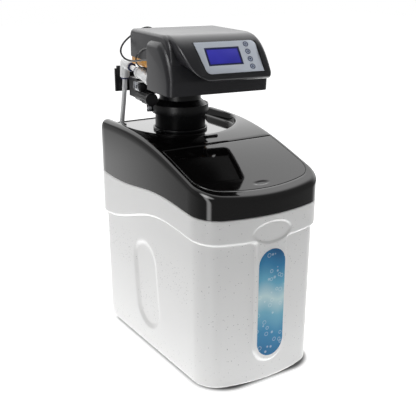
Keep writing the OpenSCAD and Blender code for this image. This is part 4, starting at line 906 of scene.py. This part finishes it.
def build_lid():
    piece = skin("lid_shell", lid_field(lid_top)[::-1] + lid_edge() + lid_field(lid_under))
    in_edit(piece, merge, face_outwards)
    pin = [(PIN_R, 0), (PIN_R, PIN_LEN), (PIN_R - PIN_EDGE, PIN_LEN + PIN_EDGE)]
    for side in (-1, 1):
        root = Vector((side * (SALT_HALF_W - LID_GAP - PIN_ROOT), HINGE_Y, HINGE_Z))
        place = Matrix.Translation(root * MM) @ Matrix.Rotation(side * math.pi / 2, 4, "Y")
        join(piece, turned("lid_pin", pin, place, PIN_SIDES))
    dressed(piece, "gloss_black", ("salt_lid",), "salt_lid", 38)


# Valve cover

VALVE = Matrix.Translation(NECK.to_3d() * MM) @ Matrix.Rotation(VALVE_YAW, 4, "Z")
HEAD_W, EAR_W, HEAD_WALL = 171.0, 188.0, 3.0
HOOD_MORE, EAR_MORE = 5.0, 9.0
HEAD_REAR, HEAD_EDGE_Z, HOOD_FRONT, EAR_FRONT, EAR_DROP = 40.5, 544.0, -146, -158, 12
EAR_REAR, NOSE_FRONT, NOSE_LOW = -52.0, -189.0, TOP_Z - 72.0
HOOD_R, HOOD_CORNER, EAR_R, NOSE_LEFT_R, NOSE_RIGHT_R = 6.5, 13.0, 14.0, 6.0, 9.0
NOSE_AXIS, NOSE_CORE_R = Vector((-114.0, TOP_Z - 44.0)), 5.0
S_CURVE = ((-79.0, TOP_Z), (-74.0, TOP_Z - 50), (-52.0, NOSE_LOW - 2), (-20.0, NOSE_LOW - 2))
S_TABLE = curve(S_CURVE, 80)


def quarter(centre, r, start, steps=6):
    turns = [math.radians(start) + math.pi / 2 * i / steps for i in range(steps + 1)]
    return [(centre[0] + r * math.cos(t), centre[1] + r * math.sin(t)) for t in turns]


def hood_outline(g, low):
    """Side outline of the hood over the valve, set in by a distance."""
    front = HOOD_FRONT + g
    top = TOP_Z - g
    roof = curve(((-100, top), (front + 18, top), (front + 4, top - 17), (front, TOP_Z - 45)), 16)
    corner = quarter((HEAD_REAR - HOOD_CORNER, TOP_Z - HOOD_CORNER), HOOD_CORNER - g, 0)
    return [(HEAD_REAR - g, low)] + corner + roof + [(front, low)]


def ear_outline(g, low):
    """Side outline of the ears and the block between them."""
    rear, top, front = EAR_REAR - g, TOP_Z - EAR_DROP - g, EAR_FRONT + g
    crest = curve(((rear, TOP_Z - 29), (rear, top), (-70, top)), 10)
    brow = curve(((-108, top), (front + 18, top - 13), (front + 2, TOP_Z - 65), (front, LOW_Z + 22)), 18)
    return [(rear, low)] + crest + brow + [(front + 2, low)]


def across(name, outline, width, more):
    """A side outline in the valve's frame, raised across its width, with more on the right."""
    place = Matrix(((0, 0, 1, -width / 2 * MM), (1, 0, 0, 0), (0, 1, 0, 0), (0, 0, 0, 1)))
    return prism(name, outline, width + more, place)


def trim_below(piece, z):
    cutter = {"plane_co": (0, 0, z * MM), "plane_no": (0, 0, 1), "use_fill": True, "clear_inner": True}
    in_edit(piece, lambda: bpy.ops.mesh.bisect(**cutter))


def nose_left(z):
    """Left edge of the nose at a height, which sweeps down in an S."""
    for (x0, z0), (x1, z1) in zip(S_TABLE, S_TABLE[1:]):
        if z1 <= z <= z0:
            return lerp(x0, x1, (z0 - z) / max(1e-6, z0 - z1))
    return S_TABLE[0][0] if z > TOP_Z else S_TABLE[-1][0]


def nose_profile():
    """Side outline of the nose, from its top down and under its chin."""
    top, low = TOP_Z + 0.05, NOSE_LOW
    brow = curve(((-104, top), (-146, top), (-168, TOP_Z - 25), (NOSE_FRONT, low + 8)), 30)
    chin = quarter((NOSE_FRONT + 6, low + 4), 6, 180)
    return [(-100, TOP_Z - 1.2)] + brow + chin + [(-168, low - 3), (-140, low - 4), (-116, low - 2)]


def nose_row(y, z):
    """A closed loop from the inside of the nose round its face and back."""
    left, right = nose_left(z), HEAD_W / 2 + HOOD_MORE
    ray = Vector((y, z)) - NOSE_AXIS
    reach = ray.length
    face = spread(left + NOSE_LEFT_R, right - NOSE_RIGHT_R, 20)[1:]
    steps = [(left, reach - NOSE_CORE_R)]
    steps += [(left + NOSE_LEFT_R * a, NOSE_LEFT_R * b) for a, b in round_over(6)]
    steps += [(x, 0.0) for x in face]
    steps += [(right - NOSE_RIGHT_R * b, NOSE_RIGHT_R * a) for a, b in round_over(8)]
    steps += [(right, reach - NOSE_CORE_R)]
    return [(x, *(NOSE_AXIS + ray * ((reach - fall) / reach))) for x, fall in steps]


PANEL_AT, PANEL_SINK = Vector((17.0, -167.0, TOP_Z - 35.5)), Vector((0, 0, -1.2))
PANEL_TILT = math.radians(52.4)
PANEL = VALVE @ Matrix.Translation(PANEL_AT * MM) @ Matrix.Rotation(PANEL_TILT, 4, "X") @ \
    Matrix.Translation(PANEL_SINK * MM)
PANEL_W, PANEL_H, PANEL_T, PANEL_R = 116.0, 62.0, 1.2, 10.0
POCKET_LEFT, POCKET_RIGHT, POCKET_LIP, POCKET_RISE = 5.0, 2.0, 2.0, 30
# What reaches below the hood's, the ears' and the rooms' lower edge before it is trimmed
HOOD_SPARE, EAR_SPARE, ROOM_SPARE, HOOD_SEGMENTS, ROOM_SEGMENTS = 12, 14, 20, 5, 4


def slab(name, size, centre, low, high, place):
    """A block between two heights."""
    corners = ((-1, -1), (1, -1), (1, 1), (-1, 1))
    outline = [(centre[0] + size[0] / 2 * a, centre[1] + size[1] / 2 * b) for a, b in corners]
    return prism(name, outline, high - low, place @ Matrix.Translation((0, 0, low * MM)))


def build_valve_cover():
    hood = across("cover_head", hood_outline(0, HEAD_EDGE_Z - HOOD_SPARE), HEAD_W, HOOD_MORE)
    bevel(hood, HOOD_R, HOOD_SEGMENTS)
    trim_below(hood, HEAD_EDGE_Z)
    ears = across("cover_ears", ear_outline(0, LOW_Z - EAR_SPARE), EAR_W, EAR_MORE)
    bevel(ears, EAR_R, HOOD_SEGMENTS)
    trim_below(ears, LOW_Z)
    nose = skin("cover_nose", [nose_row(*p) for p in nose_profile()])
    in_edit(nose, close_holes, face_outwards)
    pocket_size = (PANEL_W + POCKET_LEFT + POCKET_RIGHT, PANEL_H + 2 * POCKET_LIP)
    centre = ((POCKET_RIGHT - POCKET_LEFT) / 2, 0)
    cut(nose, slab("pocket", pocket_size, centre, 0, POCKET_RISE, VALVE.inverted() @ PANEL))
    cut(hood, ears, "UNION")
    cut(hood, nose, "UNION")
    inner = hood_outline(HEAD_WALL, HEAD_EDGE_Z - ROOM_SPARE)
    cut(hood, across("room", inner, HEAD_W - 2 * HEAD_WALL, HOOD_MORE))
    room = across("room", ear_outline(HEAD_WALL, LOW_Z - ROOM_SPARE), EAR_W - 2 * HEAD_WALL, EAR_MORE)
    bevel(room, EAR_R - HEAD_WALL, ROOM_SEGMENTS)
    cut(hood, room)
    in_edit(hood, merge)
    hood.data.transform(VALVE)
    dressed(hood, "charcoal_plastic", ("valve_cover",), angle=30)


# A dark shelf stands in for the shade under the valve cover, also seen mirrored in the lid
TRAY_HIGH, TRAY_T, TRAY_RUN, TRAY_EDGE = LOW_Z + 3.0, 2.0, (-152.0, -84.0), 0.6


def build_tray():
    """A dark shelf closing the valve cover's lower block from below, standing in for the shade under it."""
    left, right = -EAR_W / 2 + HEAD_WALL + 1, EAR_W / 2 + EAR_MORE - 4 * HEAD_WALL
    size = (right - left, TRAY_RUN[1] - TRAY_RUN[0])
    centre = ((left + right) / 2, sum(TRAY_RUN) / 2)
    shelf = slab("cover_tray", size, centre, TRAY_HIGH - TRAY_T, TRAY_HIGH, VALVE)
    bevel(shelf, TRAY_EDGE)
    dressed(shelf, "black_plastic", angle=30)


# Display

WINDOW_AT, WINDOW, SCREEN = (-11.0, 2.0), (67.0, 35.0), (60.0, 28.5)
KEY_U, KEY_V0, KEY_PITCH, KEY_R = 38.0, 23.5, 14.8, 5.0
KEY_DEPTH, KEY_PROUD = 6.0, 0.4
KEY_GAP, WINDOW_GAP, GLASS_GAP = 0.3, 0.4, 0.2
THROUGH, GLASS_RUN = (-2, 4), (-4, PANEL_T - 0.3)
PANEL_EDGE, WINDOW_EDGE, GLASS_EDGE, MARK_EDGE = 0.35, 0.4, 0.3, 0.05
KEYS = ("menu", "back", "down", "up")


def panel_outline():
    w, h, r = PANEL_W / 2, PANEL_H / 2, PANEL_R
    return [(-w - 3, h), *quarter((-w + r + 5, -h + r), r, 180), (w, -h), *quarter((w - r, h - r), r, 0)]


def key_place(index):
    return PANEL @ Matrix.Translation(Vector((KEY_U, KEY_V0 - index * KEY_PITCH, 0)) * MM)


def window_slab(name, size, more, low, high):
    """A block at the window, wider by a gap."""
    return slab(name, (size[0] + more, size[1] + more), WINDOW_AT, low, high, PANEL)


def build_display():
    panel = prism("panel_plate", panel_outline(), PANEL_T, PANEL)
    bevel(panel, PANEL_EDGE)
    for index in range(len(KEYS)):
        cut(panel, turned("hole", [(KEY_R + KEY_GAP, z) for z in THROUGH], key_place(index)))
    cut(panel, window_slab("hole", WINDOW, WINDOW_GAP, *THROUGH))
    dressed(panel, "panel_film", ("display_panel",), angle=30)
    frame_plate = window_slab("window_frame", WINDOW, 0, 0, PANEL_T)
    bevel(frame_plate, WINDOW_EDGE)
    cut(frame_plate, window_slab("hole", SCREEN, 0, *THROUGH))
    dressed(frame_plate, "navy_plastic", ("display_window",), angle=30)
    glass = window_slab("screen_glass", SCREEN, -GLASS_GAP, *GLASS_RUN)
    bevel(glass, GLASS_EDGE)
    dressed(glass, "screen", ("display_window",), angle=30)


KEY_TOP, KEY_FOOT = PANEL_T + KEY_PROUD, -KEY_DEPTH
# Steps of radius and height, from the cap's flange to its dished top
CAP = [(KEY_R + 0.8, KEY_FOOT), (KEY_R + 0.8, KEY_FOOT + 2.7), (KEY_R, KEY_FOOT + 2.8),
       (KEY_R, KEY_TOP - 0.35), (KEY_R - 0.12, KEY_TOP - 0.1), (KEY_R - 0.4, KEY_TOP),
       (KEY_R - 1.0, KEY_TOP - 0.08), (0.5, KEY_TOP - 0.12)]
RING = [(KEY_R - 0.2, KEY_TOP - 0.12), (KEY_R - 0.2, KEY_TOP + 0.06), (KEY_R - 1.2, KEY_TOP + 0.04),
        (KEY_R - 1.2, KEY_TOP - 0.12)]
MARK_LOW, MARK_T = KEY_TOP - 0.13, 0.14
KEY_MARKS = {
    "menu": (((-1.8, 0.5), (1.8, 0.5), (1.8, 1.3), (-1.8, 1.3)),
             ((-1.8, -1.3), (1.8, -1.3), (1.8, -0.5), (-1.8, -0.5))),
    "back": (((-2.0, 0.0), (1.4, -1.9), (1.4, 1.9)),),
    "down": (((0.0, -1.9), (2.1, 1.4), (-2.1, 1.4)),),
    "up": (((0.0, 1.9), (-2.1, -1.4), (2.1, -1.4)),),
}


def build_keys():
    for index, name in enumerate(KEYS):
        place, body = key_place(index), name + "_key"
        dressed(turned(name + "_cap", CAP, place), "key_plastic", (body,), body, 35)
        dressed(turned(name + "_ring", RING, place, ring=True), "navy_plastic", (), body, 35)
        raised_place = place @ Matrix.Translation((0, 0, MARK_LOW * MM))
        marks = [prism(name + "_mark", shape, MARK_T, raised_place) for shape in KEY_MARKS[name]]
        mark = join(*marks) if len(marks) > 1 else marks[0]
        bevel(mark, MARK_EDGE, 1)
        dressed(mark, "navy_plastic", (), body)


# Cords and tubes

TUBE_ROUTE = ((-68.28, 188.55, 509), (-68.12, 190.06, 496.66), (-67.97, 191.52, 484.75), (-70, 190.5, 466),
              (-74.5, 187, 443), (-80, 182, 420), (-83.5, 178.5, 402), (-83, 176, 388), (-81.5, 174.5, 376),
              *((-81, 174, z) for z in (362, 320, 260, 180, 100, 33)))
SENSOR_ROUTE = ((-25, 41, 37), (-25, 46, 38), (-29, 52, 47), (-37, 54, 52.5), (-47, 55, 53), (-60, 54, 49),
                (-74, 53, 41.5), (-88, 51, 32), (-98, 48, 22), (-102, 45, 12), (-101, 39, 4), (-98, 28, -1),
                (-95, 12, -2), (-93, -10, 0), (-90, -32, 4), (-88, -51, 6))
MOTOR_ROUTE = ((-88, -51, 26), (-88, -38, 25), (-88, -22, 20), (-88.2, -7, 13), (-88.5, 1, 6), (-88.5, 2, -1),
               (-88, -2, -7), (-86, -13, -11), (-81, -27, -13), (-75, -39, -15), (-74, -46, -16))


def spline(p, steps):
    """A smooth path through points."""
    points = [Vector(q) for q in p]
    path = []
    for i in range(len(points) - 1):
        a, b = points[max(i - 1, 0)], points[i]
        c, d = points[i + 1], points[min(i + 2, len(points) - 1)]
        for k in range(steps):
            t = k / steps
            path.append(0.5 * (2 * b + (c - a) * t + (2 * a - 5 * b + 4 * c - d) * t * t
                               + (3 * b - a - 3 * c + d) * t ** 3))
    return path + [points[-1]]


def swept(name, path, r, place, sides=20):
    """A round tube along a path in millimetres."""
    rows, side = [], None
    for i, at in enumerate(path):
        way = (path[min(i + 1, len(path) - 1)] - path[max(i - 1, 0)]).normalized()
        if side is None:
            side = way.cross(Vector((0, 1, 0)) if abs(way.z) > 0.8 else Vector((0, 0, 1)))
        side = (side - way * side.dot(way)).normalized()
        other = way.cross(side)
        turns = [2 * math.pi * k / sides for k in range(sides)]
        rows.append([tuple(at + side * r * math.cos(t) + other * r * math.sin(t)) for t in turns])
    piece = skin(name, rows)
    in_edit(piece, close_holes, face_outwards)
    piece.data.transform(place)
    return piece


def build_cords():
    sizes = bpy.context.scene.softener
    axis = VALVE @ Matrix.Translation((0, 0, AXIS_Z * MM))
    for name, route, width, place, slot, node in (
            ("tube_skin", TUBE_ROUTE, sizes.tube_width, Matrix(), "white_plastic", "brine_tube"),
            ("sensor_cable", SENSOR_ROUTE, sizes.sensor_lead_width, axis, "black_plastic", "sensor_lead"),
            ("motor_cable", MOTOR_ROUTE, sizes.motor_lead_width, axis, "black_plastic", "motor_lead")):
        dressed(swept(name, spline(route, 6), width / 2 / MM, place), slot, (node,), angle=40)


# Solids that keep their own shape with softened edges

SOFT = (
    # slot, width of the rounding in millimetres and the solids
    ("black_plastic", 0.5, "inlet_tail outlet_tail"),
    ("black_plastic", 0.6, "overflow_elbow brine_housing drain_fitting"),
    ("black_plastic", 0.8, "neck_collar overflow_nut clamp_ring injector_cover port_bracket"),
    ("black_plastic", 0.9, "vessel_neck port_nuts"),
    ("black_plastic", 1.0, "valve_body injector_body"),
    ("white_plastic", 0.3, "stub_tube"),
    ("white_plastic", 0.7, "brine_connector brine_elbow"),
    ("steel", 0.2, "brine_clip"),
    ("steel", 0.3, "clamp_screw injector_screws cover_screws"),
    ("navy_plastic", 0.4, "collet_clips"),
    ("seal_rubber", 0.6, "tube_grommet"),
    ("amber_plastic", 0.6, "drive_frame"),
)
# Solids that keep their own mesh
INSIDE = {
    "white_plastic": "riser_tube lower_strainer upper_strainer brine_well brine_well_cap brine_valve_body"
                     " float_rod drive_gear motor_pinion",
    "black_plastic": "vessel_foot retaining_nut drive_plate",
    "seal_rubber": "overflow_seal neck_seal",
    "disc_ceramic": "fixed_disc moving_disc",
    "vessel_shell": "pressure_vessel", "resin": "resin_bed", "amber_plastic": "brine_float",
    "board": "display_board", "steel": "gear_motor", "turbine_plastic": "flow_turbine",
}


def build_soft():
    for slot, width, nodes in SOFT:
        for node in nodes.split():
            softened(node, slot, width)


def build_inside():
    """Gives every solid that keeps its own mesh the material of its slot."""
    for slot, nodes in INSIDE.items():
        for node in nodes.split():
            NODES[node].data.materials.clear()
            NODES[node].data.materials.append(finish(slot))


# Stage

CAMERA_AT, CAMERA_TO = Vector((-742.14, -1143.97, 719.59)), Vector((0.0, -8.5, 267.2))
CAMERA_ROLL, CAMERA_LENS = math.radians(0.31), 64.83
# The floor's brightness as the camera sees it, a painted shadow at the base and close by, and where it
# changes, in metres from the base
SWEEP_BASE, SWEEP_CLOSE, SWEEP_NEAR_RUN, SWEEP_FAR_RUN = 0.02, 0.6, (-0.004, 0.012), (0.004, 0.07)
# Painted shadow: the floor's colour at the base and clear of it
SWEEP_PAINTED_SHADOW, SWEEP_WHITE = (0.1, 0.1, 0.1, 1), (0.86, 0.86, 0.86, 1)
# Painted bounce light: how brightly the floor glows onto the sides, close by and away
SWEEP_GLOW, SWEEP_GLOW_FAR, SWEEP_GLOW_RUN = 0.95, 0.25, (0.05, 0.7)
# The cabinet's base on the floor, in metres
BASE_AT, BASE_HALF, BASE_CORNER = (0.0, -0.003), (0.118, 0.203), 0.06
# Brightness that gloss surfaces mirror: in front, under the horizon, low down and high up
STUDIO_DARK, STUDIO_UNDER, STUDIO_LOW, STUDIO_HIGH, STUDIO_FRONT = 0.28, 1.9, 2.1, 1.95, (-0.2, 0.5)
STUDIO_LOW_RUN, STUDIO_HIGH_RUN = (-0.1, 0.2), (0.4, 0.7)
# The wall on the left falls off from the rear to the front, down to this share
LEFT_FALL, LEFT_SHARE = (-0.52, -0.36), 0.1
# A darker band at the horizon: where it starts and ends, and how much it takes away
BAND_LOW, BAND_HIGH, BAND_TAKES = (-0.26, -0.18), (0.06, 0.2), 0.8
# A tall strip of light to the front left, seen as upright streaks on the corners
STRIP_WAY, STRIP_EDGE, STRIP_LIGHT, STRIP_LOW = (-0.846, -0.533), (0.04, 0.2), 4.2, (-0.45, -0.35)
STRIP_AHEAD = (0.0, 0.3)
# White tables under the front, mirrored in edges that look down
TABLE_EDGE, TABLE_LIGHT = (0.5, 0.75), 4.0
# A round lamp above the front left
SPOT_WAY, SPOT_EDGE, SPOT_LIGHT = (-0.42, -0.33, 0.84), (0.94, 0.98), 5.0
# Even light on matt surfaces
FILL_LIGHT = 0.12
FLOOR_SIZE, SENSOR_MM = 14.0, 36.0
LAMPS = (
    # name, place, target, size in metres, watts
    ("right_softbox", (1.25, -0.35, 1.75), (0, 0, 0.3), (1.1, 1.1), 14.0),
    ("left_softbox", (-1.6, 1.2, 1.6), (0, 0.1, 0.25), (1.4, 1.4), 16.0),
    ("top_softbox", (0.3, 0.9, 2.2), (0, 0, 0.4), (1.8, 1.2), 20.0),
    ("front_fill", (-1.4, -1.7, 1.5), (0, 0, 0.4), (1.4, 1.4), 3.5),
)


def add_lamp(name, place, target, size, energy):
    deselect()
    bpy.ops.object.light_add(type="AREA", location=place)
    lamp = named(name)
    lamp.data.shape = "RECTANGLE"
    lamp.data.size, lamp.data.size_y = size
    lamp.data.energy = energy
    lamp.rotation_euler = (Vector(place) - Vector(target)).to_track_quat("Z", "Y").to_euler()
    lamp.visible_glossy = False


def floor_finish(net):
    """A white sweep with a painted shadow at the cabinet's base, white away from it, that glows onto its
    sides.
    """
    axes = net.axes(net.place())
    squares = []
    for axis, centre, half in zip("XY", BASE_AT, BASE_HALF):
        aside = net.math("ABSOLUTE", net.minus(axes[axis], centre))
        beyond = net.math("MAXIMUM", net.minus(aside, half - BASE_CORNER), 0.0)
        squares.append(net.math("POWER", beyond, 2.0))
    reach = net.minus(net.math("SQRT", net.plus(*squares)), BASE_CORNER)
    # Painted shadow: the floor's glow for the camera and its colour are darkest at the base
    clear = net.ramp(reach, *SWEEP_NEAR_RUN)
    near = net.times(clear, SWEEP_CLOSE - SWEEP_BASE)
    far = net.times(net.ramp(reach, *SWEEP_FAR_RUN), 1 - SWEEP_CLOSE)
    # Painted bounce light: for all rays but the camera's the floor glows, more strongly close by
    fall = net.times(net.ramp(reach, *SWEEP_GLOW_RUN), SWEEP_GLOW_FAR - SWEEP_GLOW)
    floor_glow = net.plus(fall, SWEEP_GLOW)
    more = net.minus(net.plus(near, far, SWEEP_BASE), floor_glow)
    seen = net.times(net.add("LightPath").outputs["Is Camera Ray"], more)
    return {"Base Color": net.blend(clear, SWEEP_PAINTED_SHADOW, SWEEP_WHITE), "Roughness": 0.9,
            "Specular IOR Level": 0.0, "Emission Strength": net.plus(seen, floor_glow),
            "Emission Color": (1, 1, 1, 1)}


SPECIAL = {
    "cabinet_plastic": cabinet_finish, "label_print": label_finish, "screen": screen_finish,
    "board": board_finish, "steel": steel_finish, "vessel_shell": vessel_finish, "resin": resin_finish,
    "white_sweep": floor_finish,
}


def build_world():
    """White for the camera, an even fill for matt surfaces and a studio round gloss ones."""
    world = bpy.data.worlds.new("studio")
    bpy.context.scene.world = world
    world.use_nodes = True
    net = Net(world.node_tree)
    path = net.add("LightPath").outputs
    toward = net.add("TexCoord").outputs["Generated"]
    way = net.axes(toward)
    left = net.plus(net.times(net.ramp(way["X"], *LEFT_FALL), 1 - LEFT_SHARE), LEFT_SHARE)
    band = net.times(net.ramp(way["Z"], *BAND_LOW), net.minus(1.0, net.ramp(way["Z"], *BAND_HIGH)))
    kept = net.minus(1.0, net.times(band, BAND_TAKES))
    low = net.times(net.ramp(way["Z"], *STUDIO_LOW_RUN), STUDIO_LOW - STUDIO_UNDER)
    high = net.times(net.ramp(way["Z"], *STUDIO_HIGH_RUN), STUDIO_HIGH - STUDIO_LOW)
    level = net.plus(low, high, STUDIO_UNDER - STUDIO_DARK)
    wall = net.times(level, net.ramp(way["Y"], *STUDIO_FRONT), left, kept)
    spot = net.add("VectorMath", {0: toward, 1: Vector(SPOT_WAY).normalized()}, operation="DOT_PRODUCT")
    glow = net.times(net.ramp(spot.outputs["Value"], *SPOT_EDGE), SPOT_LIGHT)
    x, y = STRIP_WAY
    aside = net.math("ABSOLUTE", net.plus(net.times(way["X"], y), net.times(way["Y"], -x)))
    ahead = net.plus(net.times(way["X"], x), net.times(way["Y"], y))
    narrow = net.minus(1.0, net.ramp(aside, *STRIP_EDGE))
    strip = net.times(narrow, net.ramp(way["Z"], *STRIP_LOW), net.ramp(ahead, *STRIP_AHEAD), STRIP_LIGHT)
    table = net.times(net.ramp(net.times(way["Z"], -1.0), *TABLE_EDGE), TABLE_LIGHT)
    mirrored = net.plus(wall, glow, strip, table, STUDIO_DARK)
    light = net.plus(net.times(path["Is Glossy Ray"], net.minus(mirrored, FILL_LIGHT)), FILL_LIGHT)
    seen = net.math("MAXIMUM", path["Is Camera Ray"], path["Is Transmission Ray"])
    strength = net.plus(seen, net.times(net.minus(1.0, seen), light))
    net.feed(net.tree.nodes["Background"], {"Strength": strength, "Color": (1, 1, 1, 1)})


def build_stage():
    deselect()
    bpy.ops.mesh.primitive_plane_add(size=FLOOR_SIZE)
    floor = named("white_floor")
    floor.data.materials.append(finish("white_sweep"))
    floor.visible_glossy = False
    build_world()
    for lamp in LAMPS:
        add_lamp(*lamp)
    deselect()
    bpy.ops.object.camera_add(location=CAMERA_AT * MM)
    camera = named("photo_camera")
    away = (CAMERA_AT - CAMERA_TO).normalized()
    right = Vector((0, 0, 1)).cross(away).normalized()
    turn = Matrix((right, away.cross(right), away)).transposed() @ Matrix.Rotation(CAMERA_ROLL, 3, "Z")
    camera.matrix_world = Matrix.Translation(CAMERA_AT * MM) @ turn.to_4x4()
    camera.data.lens = CAMERA_LENS
    camera.data.sensor_width = SENSOR_MM
    bpy.context.scene.camera = camera
    bpy.context.scene.view_settings.view_transform = "Standard"


# Add-on


class SoftenerSettings(bpy.types.PropertyGroup):
    """Sizes and colours that a user would change."""
    cabinet_colour: FloatVectorProperty(
        name="Cabinet colour", description="Colour of the cabinet's plastic", subtype="COLOR",
        default=(0.80, 0.80, 0.795), min=0.0, max=1.0)
    cover_colour: FloatVectorProperty(
        name="Top cover colour", description="Colour of the gloss top cover and salt lid", subtype="COLOR",
        default=linear(PLAIN["gloss_black"][0]), min=0.0, max=1.0)
    valve_cover_colour: FloatVectorProperty(
        name="Valve cover colour", description="Colour of the control valve's cover", subtype="COLOR",
        default=linear(PLAIN["charcoal_plastic"][0]), min=0.0, max=1.0)
    panel_colour: FloatVectorProperty(
        name="Panel colour", description="Colour of the display panel's film", subtype="COLOR",
        default=linear(PLAIN["panel_film"][0]), min=0.0, max=1.0)
    fleck_size: FloatProperty(
        name="Fleck spacing", description="Spacing of the flecks in the cabinet's plastic", unit="LENGTH",
        default=2.6 * MM, min=0.5 * MM, max=20 * MM, precision=4)
    tube_width: FloatProperty(
        name="Brine tube", description="Outside width of the brine tube", unit="LENGTH",
        default=9.4 * MM, min=4 * MM, max=9.5 * MM, precision=4)
    sensor_lead_width: FloatProperty(
        name="Sensor lead", description="Width of the sensor lead", unit="LENGTH",
        default=3.6 * MM, min=MM, max=3.6 * MM, precision=4)
    motor_lead_width: FloatProperty(
        name="Motor lead", description="Width of the motor lead", unit="LENGTH",
        default=2.6 * MM, min=MM, max=2.6 * MM, precision=4)


class Step:
    """What every step of the build has in common."""
    bl_options = {"REGISTER", "UNDO"}
    adds = True

    def execute(self, context):
        before = len(bpy.data.objects)
        self.build()
        if self.adds and len(bpy.data.objects) == before:
            raise RuntimeError(self.bl_label + ": no piece was made")
        return {"FINISHED"}


class SOFTENER_OT_cabinet(Step, bpy.types.Operator):
    """Mould the cabinet's skin"""
    bl_idname = "softener.cabinet"
    bl_label = "Cabinet"
    build = staticmethod(build_cabinet)


class SOFTENER_OT_label(Step, bpy.types.Operator):
    """Lay the printed film on its pad"""
    bl_idname = "softener.label"
    bl_label = "Front label"
    build = staticmethod(build_label)


class SOFTENER_OT_cover(Step, bpy.types.Operator):
    """Mould the gloss cover"""
    bl_idname = "softener.cover"
    bl_label = "Top cover"
    build = staticmethod(build_cover)


class SOFTENER_OT_lid(Step, bpy.types.Operator):
    """Mould the hinged salt lid"""
    bl_idname = "softener.lid"
    bl_label = "Salt lid"
    build = staticmethod(build_lid)


class SOFTENER_OT_valve_cover(Step, bpy.types.Operator):
    """Mould the cover of the control valve"""
    bl_idname = "softener.valve_cover"
    bl_label = "Valve cover"
    build = staticmethod(build_valve_cover)


class SOFTENER_OT_tray(Step, bpy.types.Operator):
    """Close the valve cover's lower block from below"""
    bl_idname = "softener.tray"
    bl_label = "Cover tray"
    build = staticmethod(build_tray)


class SOFTENER_OT_display(Step, bpy.types.Operator):
    """Make the panel, window and screen"""
    bl_idname = "softener.display"
    bl_label = "Display"
    build = staticmethod(build_display)


class SOFTENER_OT_keys(Step, bpy.types.Operator):
    """Make the four keys"""
    bl_idname = "softener.keys"
    bl_label = "Keys"
    build = staticmethod(build_keys)


class SOFTENER_OT_cords(Step, bpy.types.Operator):
    """Run the brine tube and the leads"""
    bl_idname = "softener.cords"
    bl_label = "Tube and leads"
    build = staticmethod(build_cords)


class SOFTENER_OT_fittings(Step, bpy.types.Operator):
    """Soften the edges of the fittings"""
    bl_idname = "softener.fittings"
    bl_label = "Fittings"
    build = staticmethod(build_soft)


class SOFTENER_OT_inside(Step, bpy.types.Operator):
    """Give the inside pieces their finishes"""
    bl_idname = "softener.inside"
    bl_label = "Inside pieces"
    adds = False
    build = staticmethod(build_inside)


class SOFTENER_OT_stage(Step, bpy.types.Operator):
    """Set the floor, lamps and camera"""
    bl_idname = "softener.stage"
    bl_label = "Stage"
    build = staticmethod(build_stage)


STEPS = (SOFTENER_OT_cabinet, SOFTENER_OT_label, SOFTENER_OT_cover,
         SOFTENER_OT_lid, SOFTENER_OT_valve_cover, SOFTENER_OT_tray,
         SOFTENER_OT_display, SOFTENER_OT_keys, SOFTENER_OT_cords,
         SOFTENER_OT_fittings, SOFTENER_OT_inside, SOFTENER_OT_stage)


class SOFTENER_PT_panel(bpy.types.Panel):
    """Lists the softener's steps in the sidebar."""
    bl_label = "Water softener"
    bl_idname = "SOFTENER_PT_panel"
    bl_space_type = "VIEW_3D"
    bl_region_type = "UI"
    bl_category = "Softener"

    def draw(self, context):
        for name in SoftenerSettings.__annotations__:
            self.layout.prop(context.scene.softener, name)
        for step in STEPS:
            self.layout.operator(step.bl_idname)


CLASSES = (SoftenerSettings, *STEPS, SOFTENER_PT_panel)


def register():
    for item in CLASSES:
        bpy.utils.register_class(item)
    bpy.types.Scene.softener = PointerProperty(type=SoftenerSettings)


def unregister():
    del bpy.types.Scene.softener
    for item in reversed(CLASSES):
        bpy.utils.unregister_class(item)


def main():
    register()
    for step in STEPS:
        getattr(bpy.ops.softener, step.bl_idname.split(".")[1])()


if __name__ == "__main__":
    main()
